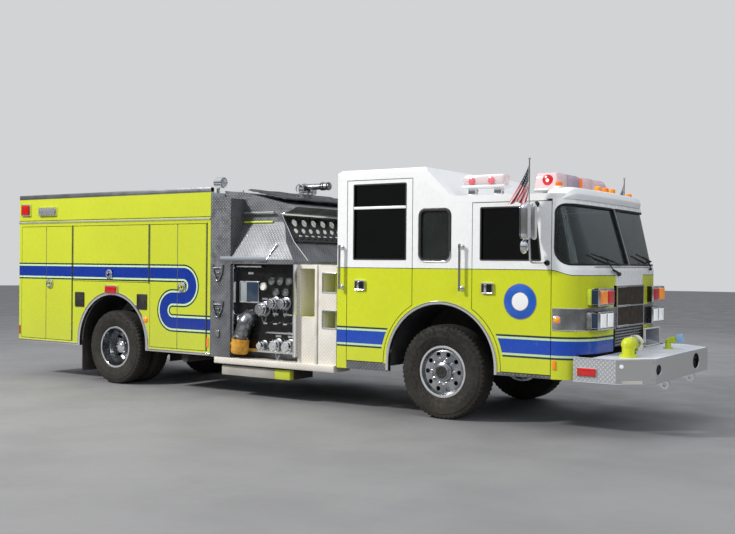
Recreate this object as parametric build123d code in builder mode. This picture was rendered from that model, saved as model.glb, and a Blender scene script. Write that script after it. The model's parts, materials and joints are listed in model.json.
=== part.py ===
from build123d import *
from math import cos, radians, sin, sqrt
import os

os.makedirs("parts", exist_ok=True)

# Frame: +X forward, +Y to the left, +Z up, millimetres. The origin is on the ground, in the
# middle of the overall length and width. Right-hand pieces are modelled and mirrored.

# Overall size
wheelbase = 5410
front_overhang = 2378
rear_overhang = 2107
half_width = 1235
running_gap = 8

front_axle_x = (wheelbase + rear_overhang - front_overhang) / 2
rear_axle_x = front_axle_x - wheelbase
nose_x = front_axle_x + front_overhang
tail_x = rear_axle_x - rear_overhang

# Wheels and tyres
front_tyre_radius = 537.5
front_tyre_width = 315
front_rim_width = 229
rear_tyre_radius = 525
rear_tyre_width = 279
rear_rim_width = 210
rim_radius = 285
rim_lip = 13.5
rim_wall = 14
tyre_face_y = half_width - 35
dual_spacing = 333
disc_wall = 12
hand_hole_count = 10
hand_hole_radius = 27
hub_radius = 108
spindle_radius = 40
spindle_play = 3
kingpin_y = half_width - 335
kingpin_radius = 22
axle_z_front = front_tyre_radius
axle_z_rear = rear_tyre_radius
front_wheel_y = tyre_face_y - front_tyre_width / 2
rear_outer_y = tyre_face_y - rear_tyre_width / 2
rear_inner_y = rear_outer_y - dual_spacing
dual_face_y = (rear_outer_y + rear_inner_y) / 2

# Chassis frame
rail_y = 430
rail_flange = 80
rail_wall = 10
rail_bottom = 640
rail_top = 900
rail_front_x = front_axle_x + 1660
rail_rear_x = tail_x + 300
horn_bottom = 530
horn_top = 775
horn_rear_x = front_axle_x + 1250

# Cab
cab_rear_x = front_axle_x - 1435
cab_sill = 500
cab_front_sill = 557
cab_nose_x = front_axle_x + 1768
cab_wall = 50
belt_z = 1710
eave_z = 2465
roof_z = 2530
high_roof_z = 2875
high_eave_z = high_roof_z - 100
high_roof_end_x = front_axle_x - 258
high_roof_foot_x = front_axle_x + 72
side_end_x = front_axle_x + 1350
corner_radius = 385
top_side_end_x = front_axle_x + 1285
top_corner_radius = 235
top_nose_x = front_axle_x + 1545
nose_sill = 825
floor_z = 915
floor_wall = 30
arch_z = 620
arch_radius = 690
arch_liner = 12
arch_inner_y = 500
fender_radius = arch_radius + 68
grille_half_width = 490

# Cab doors: rear edge, front edge, sill, head, window rear, window front, window sill, window head
door_thickness = 50
glass_thickness = 8
front_door = dict(rear=406, front=1342, sill=600, head=2440,
                  glass=((502, 1809), (1228, 1809), (1153, 2390), (502, 2390)))
rear_glass_head = high_eave_z - 75
rear_door = dict(rear=-1288, front=-378, sill=600, head=high_eave_z - 30,
                 glass=((-1200, 1807), (-461, 1807), (-461, rear_glass_head), (-1200, rear_glass_head)))
side_window = dict(rear=-282, front=124, sill=1796, head=2386)
step_depth = 285

# Bumper
bumper_bottom = 550
bumper_top = 810
bumper_wall = 8
bumper_wing_x = front_axle_x + 1600
bumper_deck_x = front_axle_x + 1800
bumper_corner_x = front_axle_x + 2060
bumper_face_y = 945

# Pump module
module_front_x = front_axle_x - 1475
module_rear_x = front_axle_x - 3510
column_front_x = front_axle_x - 3160
panel_front_x = front_axle_x - 2100
console_x = front_axle_x - 2330
panel_y = 1100
tower_y = 960
module_bottom = 510
monitor_x = front_axle_x - 2900
monitor_base_z = 2706
panel_bottom = 600
panel_top = 1740
hood_lip_z = 1800
hood_top_z = 2290
board_top = 500
board_wall = 70

# Rear body
body_front_x = module_rear_x - 3
body_bottom = 520
body_top = 2687
body_trim_top = 2755
compartment_depth = 640
door_head_z = 2270
door_sill_z = 580
mid_sill_z = 1470
latch_z = 1415
rear_arch_z = 590
rear_arch_radius = 690

# Compartment doors: each bay's rear and front end on X, its sill, and the doors that close it
leaf_gap = 12
bays = (
    dict(rear=tail_x + 65, front=rear_axle_x - 888, sill=door_sill_z, doors=("body_door_a", "body_door_b")),
    dict(rear=rear_axle_x - 842, front=rear_axle_x + 722, sill=mid_sill_z, doors=("body_door_c",)),
    dict(rear=rear_axle_x + 768, front=body_front_x - 85, sill=door_sill_z, doors=("body_door_d", "body_door_e")),
)


def at(x):
    """Place a length measured forward of the front axle in the part's frame."""
    return front_axle_x + x


def block(x, y, z, mode=Mode.ADD):
    """Add a block between two corners, given as ranges along X, Y and Z."""
    with Locations(((x[0] + x[1]) / 2, (y[0] + y[1]) / 2, (z[0] + z[1]) / 2)):
        Box(abs(x[1] - x[0]), abs(y[1] - y[0]), abs(z[1] - z[0]), mode=mode)


def prism(points, plane, amount, mode=Mode.ADD):
    """Extrude a closed outline of straight lines, drawn on a plane."""
    with BuildSketch(plane) as face:
        with BuildLine():
            Polyline(*points, close=True)
        make_face()
    extrude(face.sketch, amount=amount, mode=mode)


def side_prism(points, y, mode=Mode.ADD):
    """Extrude an X-Z outline across the width, between two places on Y."""
    low, high = sorted(y)
    prism(points, Plane.XZ.offset(-high), high - low, mode)


def rod(start, end, radius, mode=Mode.ADD):
    """Add a round bar between two points."""
    axis = Vector(*end) - Vector(*start)
    with BuildSketch(Plane(origin=start, z_dir=axis)) as section:
        Circle(radius)
    extrude(section.sketch, amount=axis.length, mode=mode)


def ring(profile, x, y, z, mode=Mode.ADD):
    """Revolve a closed outline of (distance along -Y, radius) points about an axle on Y."""
    with BuildSketch(Plane(origin=(x, y, z), x_dir=(0, -1, 0), z_dir=(1, 0, 0))) as section:
        with BuildLine():
            Polyline(*profile, close=True)
        make_face()
    revolve(section.sketch, axis=Axis((x, y, z), (0, 1, 0)), mode=mode)


def keep(piece, name):
    """Label a finished piece and write it."""
    piece.part.label = name
    export_step(piece.part, f"parts/{name}.step")


def keep_pair(piece, name):
    """Write a right-hand piece and its mirror image on the left."""
    keep(piece, f"{name}_right")
    with BuildPart() as other:
        mirror(piece.part, about=Plane.XZ)
    keep(other, f"{name}_left")


def both_sides():
    """Add the mirror image of what the current part holds, across the middle."""
    mirror(about=Plane.XZ)


# Tyres: bead, sidewall, shoulder and tread from one half outline
def tyre_outline(radius, width, rim):
    half = [
        (rim / 2, rim_radius),
        (rim / 2, rim_radius + rim_lip),
        (rim / 2 + 12, rim_radius + rim_lip),
        (width / 2, rim_radius + (radius - rim_radius) * 0.48),
        (width / 2 - 6, rim_radius + (radius - rim_radius) * 0.78),
        (width / 2 - 24, radius - 12),
        (width / 2 - 44, radius),
    ]
    return half + [(-u, r) for u, r in reversed(half)]


def rim_barrel(width):
    inner = rim_radius - rim_wall
    return [
        (-width / 2 - 12, inner), (width / 2 + 12, inner),
        (width / 2 + 12, rim_radius + rim_lip), (width / 2, rim_radius + rim_lip),
        (width / 2, rim_radius), (-width / 2, rim_radius),
        (-width / 2, rim_radius + rim_lip), (-width / 2 - 12, rim_radius + rim_lip),
    ]


with BuildPart() as front_tyre:
    ring(tyre_outline(front_tyre_radius, front_tyre_width, front_rim_width),
         front_axle_x, -front_wheel_y, axle_z_front)
keep_pair(front_tyre, "front_tyre")

front_disc_u = front_rim_width / 2 - 22
with BuildPart() as front_rim:
    ring(rim_barrel(front_rim_width), front_axle_x, -front_wheel_y, axle_z_front)
    ring([(front_disc_u, hub_radius - 4), (front_disc_u + 12, 150), (front_disc_u + 12, 235),
          (front_disc_u - 8, rim_radius - rim_wall + 1), (front_disc_u - 24, rim_radius - rim_wall + 1),
          (front_disc_u - 4, 235), (front_disc_u - 4, 150), (front_disc_u - 14, hub_radius - 4)],
         front_axle_x, -front_wheel_y, axle_z_front)
    ring([(-38, spindle_radius + spindle_play), (-38, 80), (20, 80), (40, hub_radius), (118, hub_radius),
          (118, 84), (136, 84), (146, 70), (146, 0), (118, 0), (118, spindle_radius + spindle_play)],
         front_axle_x, -front_wheel_y, axle_z_front)
    with BuildSketch(Plane.XZ.offset(front_wheel_y).shift_origin((front_axle_x, -front_wheel_y, axle_z_front))) as holes:
        with PolarLocations(204, hand_hole_count):
            Circle(hand_hole_radius)
    extrude(holes.sketch, amount=200, both=True, mode=Mode.SUBTRACT)
keep_pair(front_rim, "front_rim")

with BuildPart() as rear_tyres:
    for wheel_y in (rear_outer_y, rear_inner_y):
        ring(tyre_outline(rear_tyre_radius, rear_tyre_width, rear_rim_width), rear_axle_x, -wheel_y, axle_z_rear)
keep_pair(rear_tyres, "rear_tyres")

dish = rear_outer_y - dual_face_y
with BuildPart() as rear_rims:
    for wheel_y, way in ((rear_outer_y, 1), (rear_inner_y, -1)):
        ring(rim_barrel(rear_rim_width), rear_axle_x, -wheel_y, axle_z_rear)
        ring([(way * u, r) for u, r in (
            (-dish, hub_radius - 4), (-dish, 190), (-dish + 14, 222), (-40, rim_radius - rim_wall + 1),
            (-20, rim_radius - rim_wall + 1), (-dish + 30, 222), (-dish + disc_wall + 2, 190),
            (-dish + disc_wall, hub_radius - 4))], rear_axle_x, -wheel_y, axle_z_rear)
    ring([(-150, 76), (-150, 190), (-40, 190), (-40, hub_radius), (60, hub_radius), (150, 96),
          (176, 84), (176, 0), (100, 0), (100, 76)], rear_axle_x, -dual_face_y, axle_z_rear)
    with BuildSketch(Plane.XZ.offset(dual_face_y).shift_origin((rear_axle_x, -dual_face_y, axle_z_rear))) as holes:
        with PolarLocations(212, hand_hole_count):
            Circle(hand_hole_radius - 3)
    extrude(holes.sketch, amount=300, both=True, mode=Mode.SUBTRACT)
keep_pair(rear_rims, "rear_rims")

# Steering knuckle: fork about the kingpin, backing plate, spindle and steering arm
eye_half = 62
arm_drop = 57
arm_reach = 200
arm_offset = 52
with BuildPart() as knuckle:
    for low, high in ((axle_z_front - eye_half - 35, axle_z_front - eye_half - 5),
                      (axle_z_front + eye_half + 5, axle_z_front + eye_half + 35)):
        block((front_axle_x - 45, front_axle_x + 45), (-kingpin_y + 45, -kingpin_y - 75), (low, high))
    rod((front_axle_x, -kingpin_y, axle_z_front - eye_half - 35),
        (front_axle_x, -kingpin_y, axle_z_front + eye_half + 35), kingpin_radius)
    block((front_axle_x - 45, front_axle_x + 45), (-kingpin_y - 60, -kingpin_y - 85),
          (axle_z_front - eye_half - 35, axle_z_front + eye_half + 35))
    rod((front_axle_x, -kingpin_y - 80, axle_z_front), (front_axle_x, -kingpin_y - 96, axle_z_front), 195)
    rod((front_axle_x, -kingpin_y - 90, axle_z_front), (front_axle_x, -front_wheel_y - 112, axle_z_front),
        spindle_radius)
    arm_z = (axle_z_front - eye_half - arm_drop, axle_z_front - eye_half - 35)
    block((front_axle_x - arm_reach - 30, front_axle_x + 30), (-kingpin_y + 35, -kingpin_y - 5), arm_z)
    block((front_axle_x - arm_reach - 30, front_axle_x - arm_reach + 35),
          (-kingpin_y + arm_offset + 28, -kingpin_y), arm_z)
keep_pair(knuckle, "knuckle")

# Tie rod behind the axle, pinned under the left steering arm and open at the right one
tie_z = axle_z_front - eye_half - arm_drop
with BuildPart() as tie_rod:
    rod((front_axle_x - arm_reach, -kingpin_y + arm_offset + 60, tie_z - 25),
        (front_axle_x - arm_reach, kingpin_y - arm_offset, tie_z - 25), 16)
    rod((front_axle_x - arm_reach, kingpin_y - arm_offset, tie_z - 50),
        (front_axle_x - arm_reach, kingpin_y - arm_offset, tie_z - 5), 24)
keep(tie_rod, "tie_rod")

# Front axle: dropped beam with kingpin eyes, leaf springs and hangers
spring_y = rail_y - rail_flange / 2
with BuildPart() as front_axle:
    block((front_axle_x - 45, front_axle_x + 45), (0, -kingpin_y + 130), (axle_z_front - 130, axle_z_front - 40))
    prism([(-kingpin_y + 130, axle_z_front - 130), (-kingpin_y + 130, axle_z_front - 40),
           (-kingpin_y + 50, axle_z_front + 40), (-kingpin_y + 30, axle_z_front + 20),
           (-kingpin_y + 30, axle_z_front - 30), (-kingpin_y + 78, axle_z_front - 50)],
          Plane.YZ.offset(front_axle_x - 45), 90)
    rod((front_axle_x, -kingpin_y, axle_z_front - eye_half), (front_axle_x, -kingpin_y, axle_z_front + eye_half), 52)
    rod((front_axle_x, -kingpin_y, axle_z_front - eye_half), (front_axle_x, -kingpin_y, axle_z_front + eye_half),
        kingpin_radius + 1, mode=Mode.SUBTRACT)
    block((front_axle_x - 90, front_axle_x + 90), (-spring_y - 40, -spring_y + 40),
          (axle_z_front - 45, axle_z_front + 5))
    with BuildSketch(Plane.XZ.offset(spring_y - 38)) as leaf:
        with BuildLine():
            ThreePointArc((at(-760), rail_bottom - 10), (at(0), axle_z_front - 5), (at(760), rail_bottom - 10))
            Line((at(760), rail_bottom - 10), (at(760), rail_bottom))
            Line((at(760), rail_bottom), (at(700), rail_bottom))
            ThreePointArc((at(700), rail_bottom), (at(0), axle_z_front + 45), (at(-700), rail_bottom))
            Line((at(-700), rail_bottom), (at(-760), rail_bottom))
            Line((at(-760), rail_bottom), (at(-760), rail_bottom - 10))
        make_face()
    extrude(leaf.sketch, amount=76)
    both_sides()
keep(front_axle, "front_axle")

# Rear axle: tube, differential, springs and the stubs that the hubs turn on
with BuildPart() as rear_axle:
    rod((rear_axle_x, 0, axle_z_rear), (rear_axle_x, -dual_face_y + 160, axle_z_rear), 66)
    rod((rear_axle_x, -dual_face_y + 170, axle_z_rear), (rear_axle_x, -dual_face_y + 155, axle_z_rear), 190)
    rod((rear_axle_x, -dual_face_y + 170, axle_z_rear), (rear_axle_x, -dual_face_y - 90, axle_z_rear), 72)
    with Locations((rear_axle_x, 0, axle_z_rear)):
        Sphere(205)
    with BuildSketch(Plane.XZ.offset(spring_y - 38)) as leaf:
        with BuildLine():
            Polyline((rear_axle_x - 780, rail_bottom), (rear_axle_x - 780, rail_bottom - 12),
                     (rear_axle_x - 120, axle_z_rear + 40), (rear_axle_x + 120, axle_z_rear + 40),
                     (rear_axle_x + 780, rail_bottom - 12), (rear_axle_x + 780, rail_bottom),
                     (rear_axle_x + 160, axle_z_rear + 100), (rear_axle_x - 160, axle_z_rear + 100), close=True)
        make_face()
    extrude(leaf.sketch, amount=76)
    both_sides()
    rod((rear_axle_x + 150, 0, axle_z_rear + 20), (rear_axle_x + 2300, 0, axle_z_rear + 150), 55)
keep(rear_axle, "rear_axle")

# Chassis rails: two channels, crossmembers, and dropped horns that carry the bumper
with BuildPart() as frame_rails:
    with BuildSketch(Plane.YZ.offset(rail_rear_x)) as channel:
        with BuildLine():
            Polyline((-rail_y, rail_bottom), (-rail_y, rail_top), (-rail_y + rail_flange, rail_top),
                     (-rail_y + rail_flange, rail_top - rail_wall), (-rail_y + rail_wall, rail_top - rail_wall),
                     (-rail_y + rail_wall, rail_bottom + rail_wall),
                     (-rail_y + rail_flange, rail_bottom + rail_wall), (-rail_y + rail_flange, rail_bottom),
                     close=True)
        make_face()
    extrude(channel.sketch, amount=rail_front_x - rail_rear_x)
    side_prism([(horn_rear_x, rail_bottom + 20), (horn_rear_x, rail_top - 20), (rail_front_x - 60, rail_top - 20),
                (rail_front_x - 20, horn_top), (nose_x - bumper_wall, horn_top),
                (nose_x - bumper_wall, horn_bottom + 60), (rail_front_x, horn_bottom),
                (horn_rear_x + 150, horn_bottom)], (-rail_y + rail_wall, -rail_y + rail_wall + 14))
    for cross_x in (rail_rear_x + 60, rear_axle_x + 900, rear_axle_x + 2450, at(-1100), at(620)):
        block((cross_x - 40, cross_x + 40), (0, -rail_y + rail_wall), (rail_bottom + 20, rail_bottom + 60))
    block((rail_front_x + 180, rail_front_x + 240), (0, -rail_y + rail_wall), (horn_bottom + 80, horn_top - 20))
    both_sides()
keep(frame_rails, "frame_rails")

engine_bottom = rail_bottom + 60
with BuildPart() as engine_block:
    block((at(-1100), at(640)), (-330, 330), (engine_bottom, 860))
    block((at(-540), at(500)), (-330, 330), (860, 1340))
    chamfer(engine_block.edges().filter_by(Axis.X).group_by(Axis.Z)[-1], 60)
keep(engine_block, "engine_block")


# Cab outline in plan at one height: straight sides, round corners and a bowed nose
def cab_plan(z, end_x, radius, front_x, inset):
    y = half_width - inset
    rear = cab_rear_x + inset
    corner = radius - inset
    lean = corner * (1 - sqrt(0.5))
    with BuildSketch(Plane.XY.offset(z)) as plan:
        with BuildLine():
            Line((rear, -y), (end_x, -y))
            ThreePointArc((end_x, -y), (end_x + corner - lean, -y + lean), (end_x + corner, -y + corner))
            ThreePointArc((end_x + corner, -y + corner), (front_x - inset, 0), (end_x + corner, y - corner))
            ThreePointArc((end_x + corner, y - corner), (end_x + corner - lean, y - lean), (end_x, y))
            Line((end_x, y), (rear, y))
            Line((rear, y), (rear, -y))
        make_face()
    return plan.sketch


# Solid cab form, drawn in by an inset on every upright face
def cab_form(inset, low, high):
    lower = cab_plan(low, side_end_x, corner_radius, cab_nose_x, inset)
    belt = cab_plan(belt_z, side_end_x, corner_radius, cab_nose_x, inset)
    top = cab_plan(eave_z, top_side_end_x, top_corner_radius, top_nose_x, inset)
    with BuildPart() as form:
        extrude(lower, amount=belt_z - low)
        loft([belt, top], ruled=True)
        if high > eave_z:
            extrude(top, amount=high - eave_z)
    return form.part


cab_outer = cab_form(0, cab_sill, high_roof_z)
cab_inner = cab_form(cab_wall, cab_sill, high_roof_z)
glass_outer = cab_form(cab_wall / 2 - glass_thickness / 2, cab_sill, high_roof_z)
glass_inner = cab_form(cab_wall / 2 + glass_thickness / 2, cab_sill, high_roof_z)


def window(outline, y, radius, mode=Mode.ADD):
    """Extrude an X-Z outline with rounded corners across the width, between two places on Y."""
    low, high = sorted(y)
    with BuildSketch(Plane.XZ.offset(-high)) as pane:
        with BuildLine():
            Polyline(*outline, close=True)
        make_face()
        fillet(pane.vertices(), radius)
    extrude(pane.sketch, amount=high - low, mode=mode)


def door_outline(door):
    """Give a cab door's outline in X and Z, before the wheel arch is cut."""
    return [(at(door["rear"]), door["sill"]), (at(door["front"]), door["sill"]),
            (at(door["front"]), door["head"]), (at(door["rear"]), door["head"])]


def wheel_bore(radius, y, mode=Mode.SUBTRACT):
    """Cut the round front wheel arch between two places on Y."""
    rod((front_axle_x, y[0], arch_z), (front_axle_x, y[1], arch_z), radius, mode=mode)
    block((front_axle_x - radius, front_axle_x + radius), y, (0, arch_z), mode=mode)


def wall_y(outer=half_width, inner=half_width - cab_wall):
    """Give the Y range of the right cab wall."""
    return (-outer, -inner)


side_window_outline = [(at(x), side_window[edge]) for x, edge in (
    (side_window["rear"], "sill"), (side_window["front"], "sill"),
    (side_window["front"], "head"), (side_window["rear"], "head"))]
side_window_corner = 75
door_window_corner = 12
through_wall = wall_y(half_width + 5, half_width - 135)

# Cab side wall with the openings for both doors, the fixed window and the wheel arch's fender
with BuildPart() as cab_sides:
    side_prism([(cab_rear_x, cab_sill), (at(0), cab_sill), (at(0), cab_front_sill), (side_end_x, cab_front_sill),
                (side_end_x, belt_z), (top_side_end_x, eave_z), (high_roof_foot_x, eave_z),
                (high_roof_end_x, high_eave_z), (cab_rear_x, high_eave_z)], wall_y())
    for door in (front_door, rear_door):
        block((at(door["rear"]) - running_gap, at(door["front"]) + running_gap), through_wall,
              (door["sill"] - running_gap, door["head"] + running_gap), mode=Mode.SUBTRACT)
    window(side_window_outline, through_wall, side_window_corner, mode=Mode.SUBTRACT)
    with BuildSketch(Plane.XZ.offset(half_width - cab_wall)) as fender:
        with Locations((front_axle_x, arch_z)):
            Circle(fender_radius)
        with Locations((front_axle_x, (arch_z + cab_front_sill) / 2)):
            Rectangle(2 * fender_radius, arch_z - cab_front_sill)
        with Locations((front_axle_x, cab_front_sill - arch_radius)):
            Rectangle(3 * arch_radius, 2 * arch_radius, mode=Mode.SUBTRACT)
    extrude(fender.sketch, amount=cab_wall)
    wheel_bore(arch_radius, through_wall)
    both_sides()
    block((cab_rear_x, cab_rear_x + cab_wall), (-half_width + cab_wall, half_width - cab_wall),
          (floor_z, high_eave_z))
keep(cab_sides, "cab_sides")

# Cab doors hang on their front edges
for door, name in ((front_door, "front_door"), (rear_door, "rear_door")):
    with BuildPart() as cab_door:
        side_prism(door_outline(door), wall_y())
        window([(at(x), z) for x, z in door["glass"]], through_wall, door_window_corner, mode=Mode.SUBTRACT)
        wheel_bore(fender_radius + running_gap, through_wall)
        handle_x = at(door["rear"]) + 195
        block((handle_x - 70, handle_x + 70), (-half_width - 22, -half_width), (1445, 1560))
    keep_pair(cab_door, name)
    with BuildPart() as door_glass:
        middle = half_width - cab_wall / 2
        window([(at(x), z) for x, z in door["glass"]],
               (-middle - glass_thickness / 2, -middle + glass_thickness / 2), door_window_corner)
    keep_pair(door_glass, f"{name}_glass")

# Cab front: everything ahead of the doors, with the windscreen and grille openings
screen_sill = 1770
screen_head = 2405
screen_edge_x = side_end_x + 34
screen_post = 25
screen_low_corner = 170
screen_high_corner = 90
grille_bottom = 870
grille_top = 1545


def screen(y, mode):
    """Cut or keep the windscreen's opening between two places on Y; its rear corners are round."""
    low, high = sorted(y)
    with BuildSketch(Plane.XZ.offset(-high)) as pane:
        with BuildLine():
            Polyline((screen_edge_x, screen_sill), (nose_x, screen_sill), (nose_x, screen_head),
                     (screen_edge_x, screen_head), close=True)
        make_face()
        fillet(pane.vertices().group_by(Axis.X)[0].sort_by(Axis.Y)[0], screen_low_corner)
        fillet(pane.vertices().group_by(Axis.X)[0].sort_by(Axis.Y)[-1], screen_high_corner)
    extrude(pane.sketch, amount=high - low, mode=mode)


with BuildPart() as cab_front:
    add(cab_outer)
    add(cab_inner, mode=Mode.SUBTRACT)
    block((side_end_x, nose_x), (-half_width, half_width), (cab_front_sill, eave_z), mode=Mode.INTERSECT)
    block((side_end_x - 50, nose_x), (-grille_half_width, grille_half_width), (0, grille_top), mode=Mode.SUBTRACT)
    block((bumper_wing_x, nose_x), (-half_width, half_width), (0, nose_sill), mode=Mode.SUBTRACT)
    for low, high in ((-half_width, -screen_post), (screen_post, half_width)):
        screen((low, high), Mode.SUBTRACT)
keep(cab_front, "cab_front")

with BuildPart() as cab_glass:
    add(glass_outer)
    add(glass_inner, mode=Mode.SUBTRACT)
    screen((-half_width, half_width), Mode.INTERSECT)
    block((screen_edge_x - 5, nose_x), (-screen_post, screen_post), (screen_sill - 5, screen_head + 5),
          mode=Mode.SUBTRACT)
    for side in (-1, 1):
        middle = side * (half_width - cab_wall / 2)
        window(side_window_outline, (middle - glass_thickness / 2, middle + glass_thickness / 2),
               side_window_corner)
keep(cab_glass, "cab_glass")

# Cab roof: low over the front seats, raised over the crew, hollow below
with BuildPart() as cab_roof:
    side_prism([(cab_rear_x, high_eave_z), (cab_rear_x, high_roof_z - 25), (cab_rear_x + 40, high_roof_z),
                (high_roof_end_x + 30, high_roof_z), (high_roof_foot_x + 60, roof_z), (top_nose_x - 90, roof_z - 8),
                (top_nose_x, eave_z), (high_roof_foot_x, eave_z), (high_roof_end_x, high_eave_z)],
               (-half_width, half_width))
    extrude(cab_plan(eave_z, top_side_end_x, top_corner_radius, top_nose_x, 0), amount=high_roof_z - eave_z,
            mode=Mode.INTERSECT)
    chamfer(cab_roof.edges().filter_by(Axis.X).group_by(Axis.Z)[-1], 45)
    side_prism([(cab_rear_x + cab_wall, high_eave_z - 1), (cab_rear_x + cab_wall, high_roof_z - 60),
                (high_roof_end_x - 10, high_roof_z - 60), (high_roof_foot_x + 20, eave_z + 25),
                (top_nose_x - 130, eave_z + 25), (top_nose_x - 130, eave_z - 1), (high_roof_foot_x, eave_z - 1),
                (high_roof_end_x, high_eave_z - 1)],
               (-half_width + cab_wall + 20, half_width - cab_wall - 20), mode=Mode.SUBTRACT)
keep(cab_roof, "cab_roof")

# Cab floor with step wells, wheel boxes and the engine cover
cover_y = 470
cover_top = 1420
cover_rear_x = at(-750)
cover_front_x = at(760)
well_y = half_width - cab_wall - step_depth
with BuildPart() as cab_floor:
    block((cab_rear_x + cab_wall, side_end_x + 250), (-well_y, -cover_y), (floor_z, floor_z + floor_wall))
    block((cover_front_x, side_end_x + 250), (-cover_y, 0), (floor_z, floor_z + floor_wall))
    block((cab_rear_x + cab_wall, cover_rear_x), (-cover_y, 0), (floor_z, floor_z + floor_wall))
    for low, high in ((cab_rear_x + cab_wall, front_axle_x - arch_radius - arch_liner / 2),
                      (front_axle_x + arch_radius + arch_liner / 2, side_end_x)):
        block((low, high), (-half_width + cab_wall, -well_y), (cab_front_sill + 5, cab_front_sill + 30))
        block((low, high), (-well_y, -well_y + 20), (cab_front_sill + 5, floor_z + floor_wall))
    wheel_bore(arch_radius + arch_liner / 2, (-half_width, -arch_inner_y))
    house_bottom = cab_front_sill + 5
    with BuildSketch(Plane.XZ.offset(arch_inner_y)) as house:
        for radius, mode in ((arch_radius + arch_liner, Mode.ADD), (arch_radius, Mode.SUBTRACT)):
            with Locations((front_axle_x, arch_z)):
                Circle(radius, mode=mode)
            with Locations((front_axle_x, (arch_z + house_bottom) / 2)):
                Rectangle(2 * radius, arch_z - house_bottom, mode=mode)
        with Locations((front_axle_x, house_bottom - arch_radius)):
            Rectangle(3 * arch_radius, 2 * arch_radius, mode=Mode.SUBTRACT)
    extrude(house.sketch, amount=half_width - cab_wall - arch_inner_y)
    with BuildSketch(Plane.XZ.offset(arch_inner_y - arch_liner)) as house_end:
        with Locations((front_axle_x, arch_z)):
            Circle(arch_radius + arch_liner)
        with Locations((front_axle_x, arch_z + 100 - arch_radius)):
            Rectangle(3 * arch_radius, 2 * arch_radius, mode=Mode.SUBTRACT)
    extrude(house_end.sketch, amount=arch_liner)
    both_sides()
    prism([(-cover_y, floor_z), (cover_y, floor_z), (cover_y, cover_top - 70), (cover_y - 70, cover_top),
           (-cover_y + 70, cover_top), (-cover_y, cover_top - 70)],
          Plane.YZ.offset(cover_rear_x), cover_front_x - cover_rear_x)
    block((cover_rear_x + floor_wall, cover_front_x - floor_wall), (-cover_y + floor_wall, cover_y - floor_wall),
          (floor_z - 5, cover_top - floor_wall - 40), mode=Mode.SUBTRACT)
keep(cab_floor, "cab_floor")

# Grille: bright frame, mid bar and dark inserts that slant back
with BuildPart() as grille:
    block((cab_nose_x - 45, cab_nose_x + 14), (-grille_half_width + 1, grille_half_width - 1), (1075, grille_top))
    block((cab_nose_x - 2, cab_nose_x + 40), (-grille_half_width + 40, grille_half_width - 40), (1115, 1300),
          mode=Mode.SUBTRACT)
    block((cab_nose_x - 2, cab_nose_x + 40), (-grille_half_width + 40, grille_half_width - 40), (1325, 1505),
          mode=Mode.SUBTRACT)
    block((cab_nose_x - 45, cab_nose_x - 20), (-grille_half_width + 1, grille_half_width - 1),
          (grille_bottom, 1080))
keep(grille, "grille")

# Front lamps: one stainless bezel a side with a signal pair above a headlamp pair
with BuildPart() as head_lamps:
    block((cab_nose_x - 60, at(1820)), (-1065, -640), (1085, 1540))
    add(cab_outer, mode=Mode.SUBTRACT)
    for z, height in ((1430, 150), (1195, 135)):
        for y in (-955, -750):
            block((at(1806), at(1850)), (y - 85, y + 85), (z - height / 2, z + height / 2), mode=Mode.SUBTRACT)
    both_sides()
keep(head_lamps, "head_lamps")

# Seats: a cushion, a back and a pedestal each
seat_width = 460
with BuildPart() as seats:
    for x, y in ((at(330), -760), (at(-1290), -800), (at(-1290), -270)):
        block((x, x + 430), (y - seat_width / 2, y + seat_width / 2), (1440, 1540))
        block((x - 60, x + 60), (y - seat_width / 2, y + seat_width / 2), (1500, 2150))
    both_sides()
    for x, places in ((at(330), (-760, 760)), (at(-1290), (-800, -270, 270, 800))):
        for y in places:
            block((x + 60, x + 340), (y - 150, y + 150), (floor_z + floor_wall, 1440))
    rod((front_axle_x, -half_width, arch_z), (front_axle_x, half_width, arch_z), arch_radius + arch_liner,
        mode=Mode.SUBTRACT)
keep(seats, "seats")

# Dashboard across the cab with the steering column and wheel on the left
with BuildPart() as dashboard:
    block((at(1250), at(1640)), (-1000, 1000), (1330, 1690))
    block((at(1400), at(1660)), (-900, 900), (floor_z + floor_wall, 1330))
    rod((at(1300), 760, 1500), (at(980), 760, 1700), 30)
    with BuildSketch(Plane(origin=(at(980), 760, 1700), z_dir=(-0.85, 0, 0.53))) as hoop:
        Circle(230)
        Circle(200, mode=Mode.SUBTRACT)
        Rectangle(410, 40)
    extrude(hoop.sketch, amount=24)
keep(dashboard, "dashboard")

# Roof lights: a full-width bar at the front and a short bar over each side
with BuildPart() as light_bars:
    block((at(1010), at(1330)), (-870, 870), (roof_z + 45, 2750))
    for y in (-600, 600):
        block((at(1090), at(1250)), (y - 40, y + 40), (roof_z, roof_z + 45))
    for side in (-1, 1):
        block((at(300), at(830)), (side * 1215, side * 1050), (roof_z + 20, 2680))
        block((at(400), at(730)), (side * 1170, side * 1090), (roof_z, roof_z + 20))
keep(light_bars, "light_bars")

# Cab grab rails: a tube on two posts beside each door
rail_radius = 16
rail_out = 60
with BuildPart() as cab_rails:
    for x, low, high in ((at(277), 1464, 1988), (at(-1362), 1448, 1981)):
        rod((x, -half_width - rail_out, low), (x, -half_width - rail_out, high), rail_radius)
        for z in (low + 30, high - 30):
            rod((x, -half_width - rail_out, z), (x, -half_width, z), rail_radius - 4)
    both_sides()
keep(cab_rails, "cab_rails")

mirror_x = at(1200)
mirror_y = half_width + 235
mirror_foot_z = 1790
mirror_head_z = 2415
mirror_rod = 12

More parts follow.
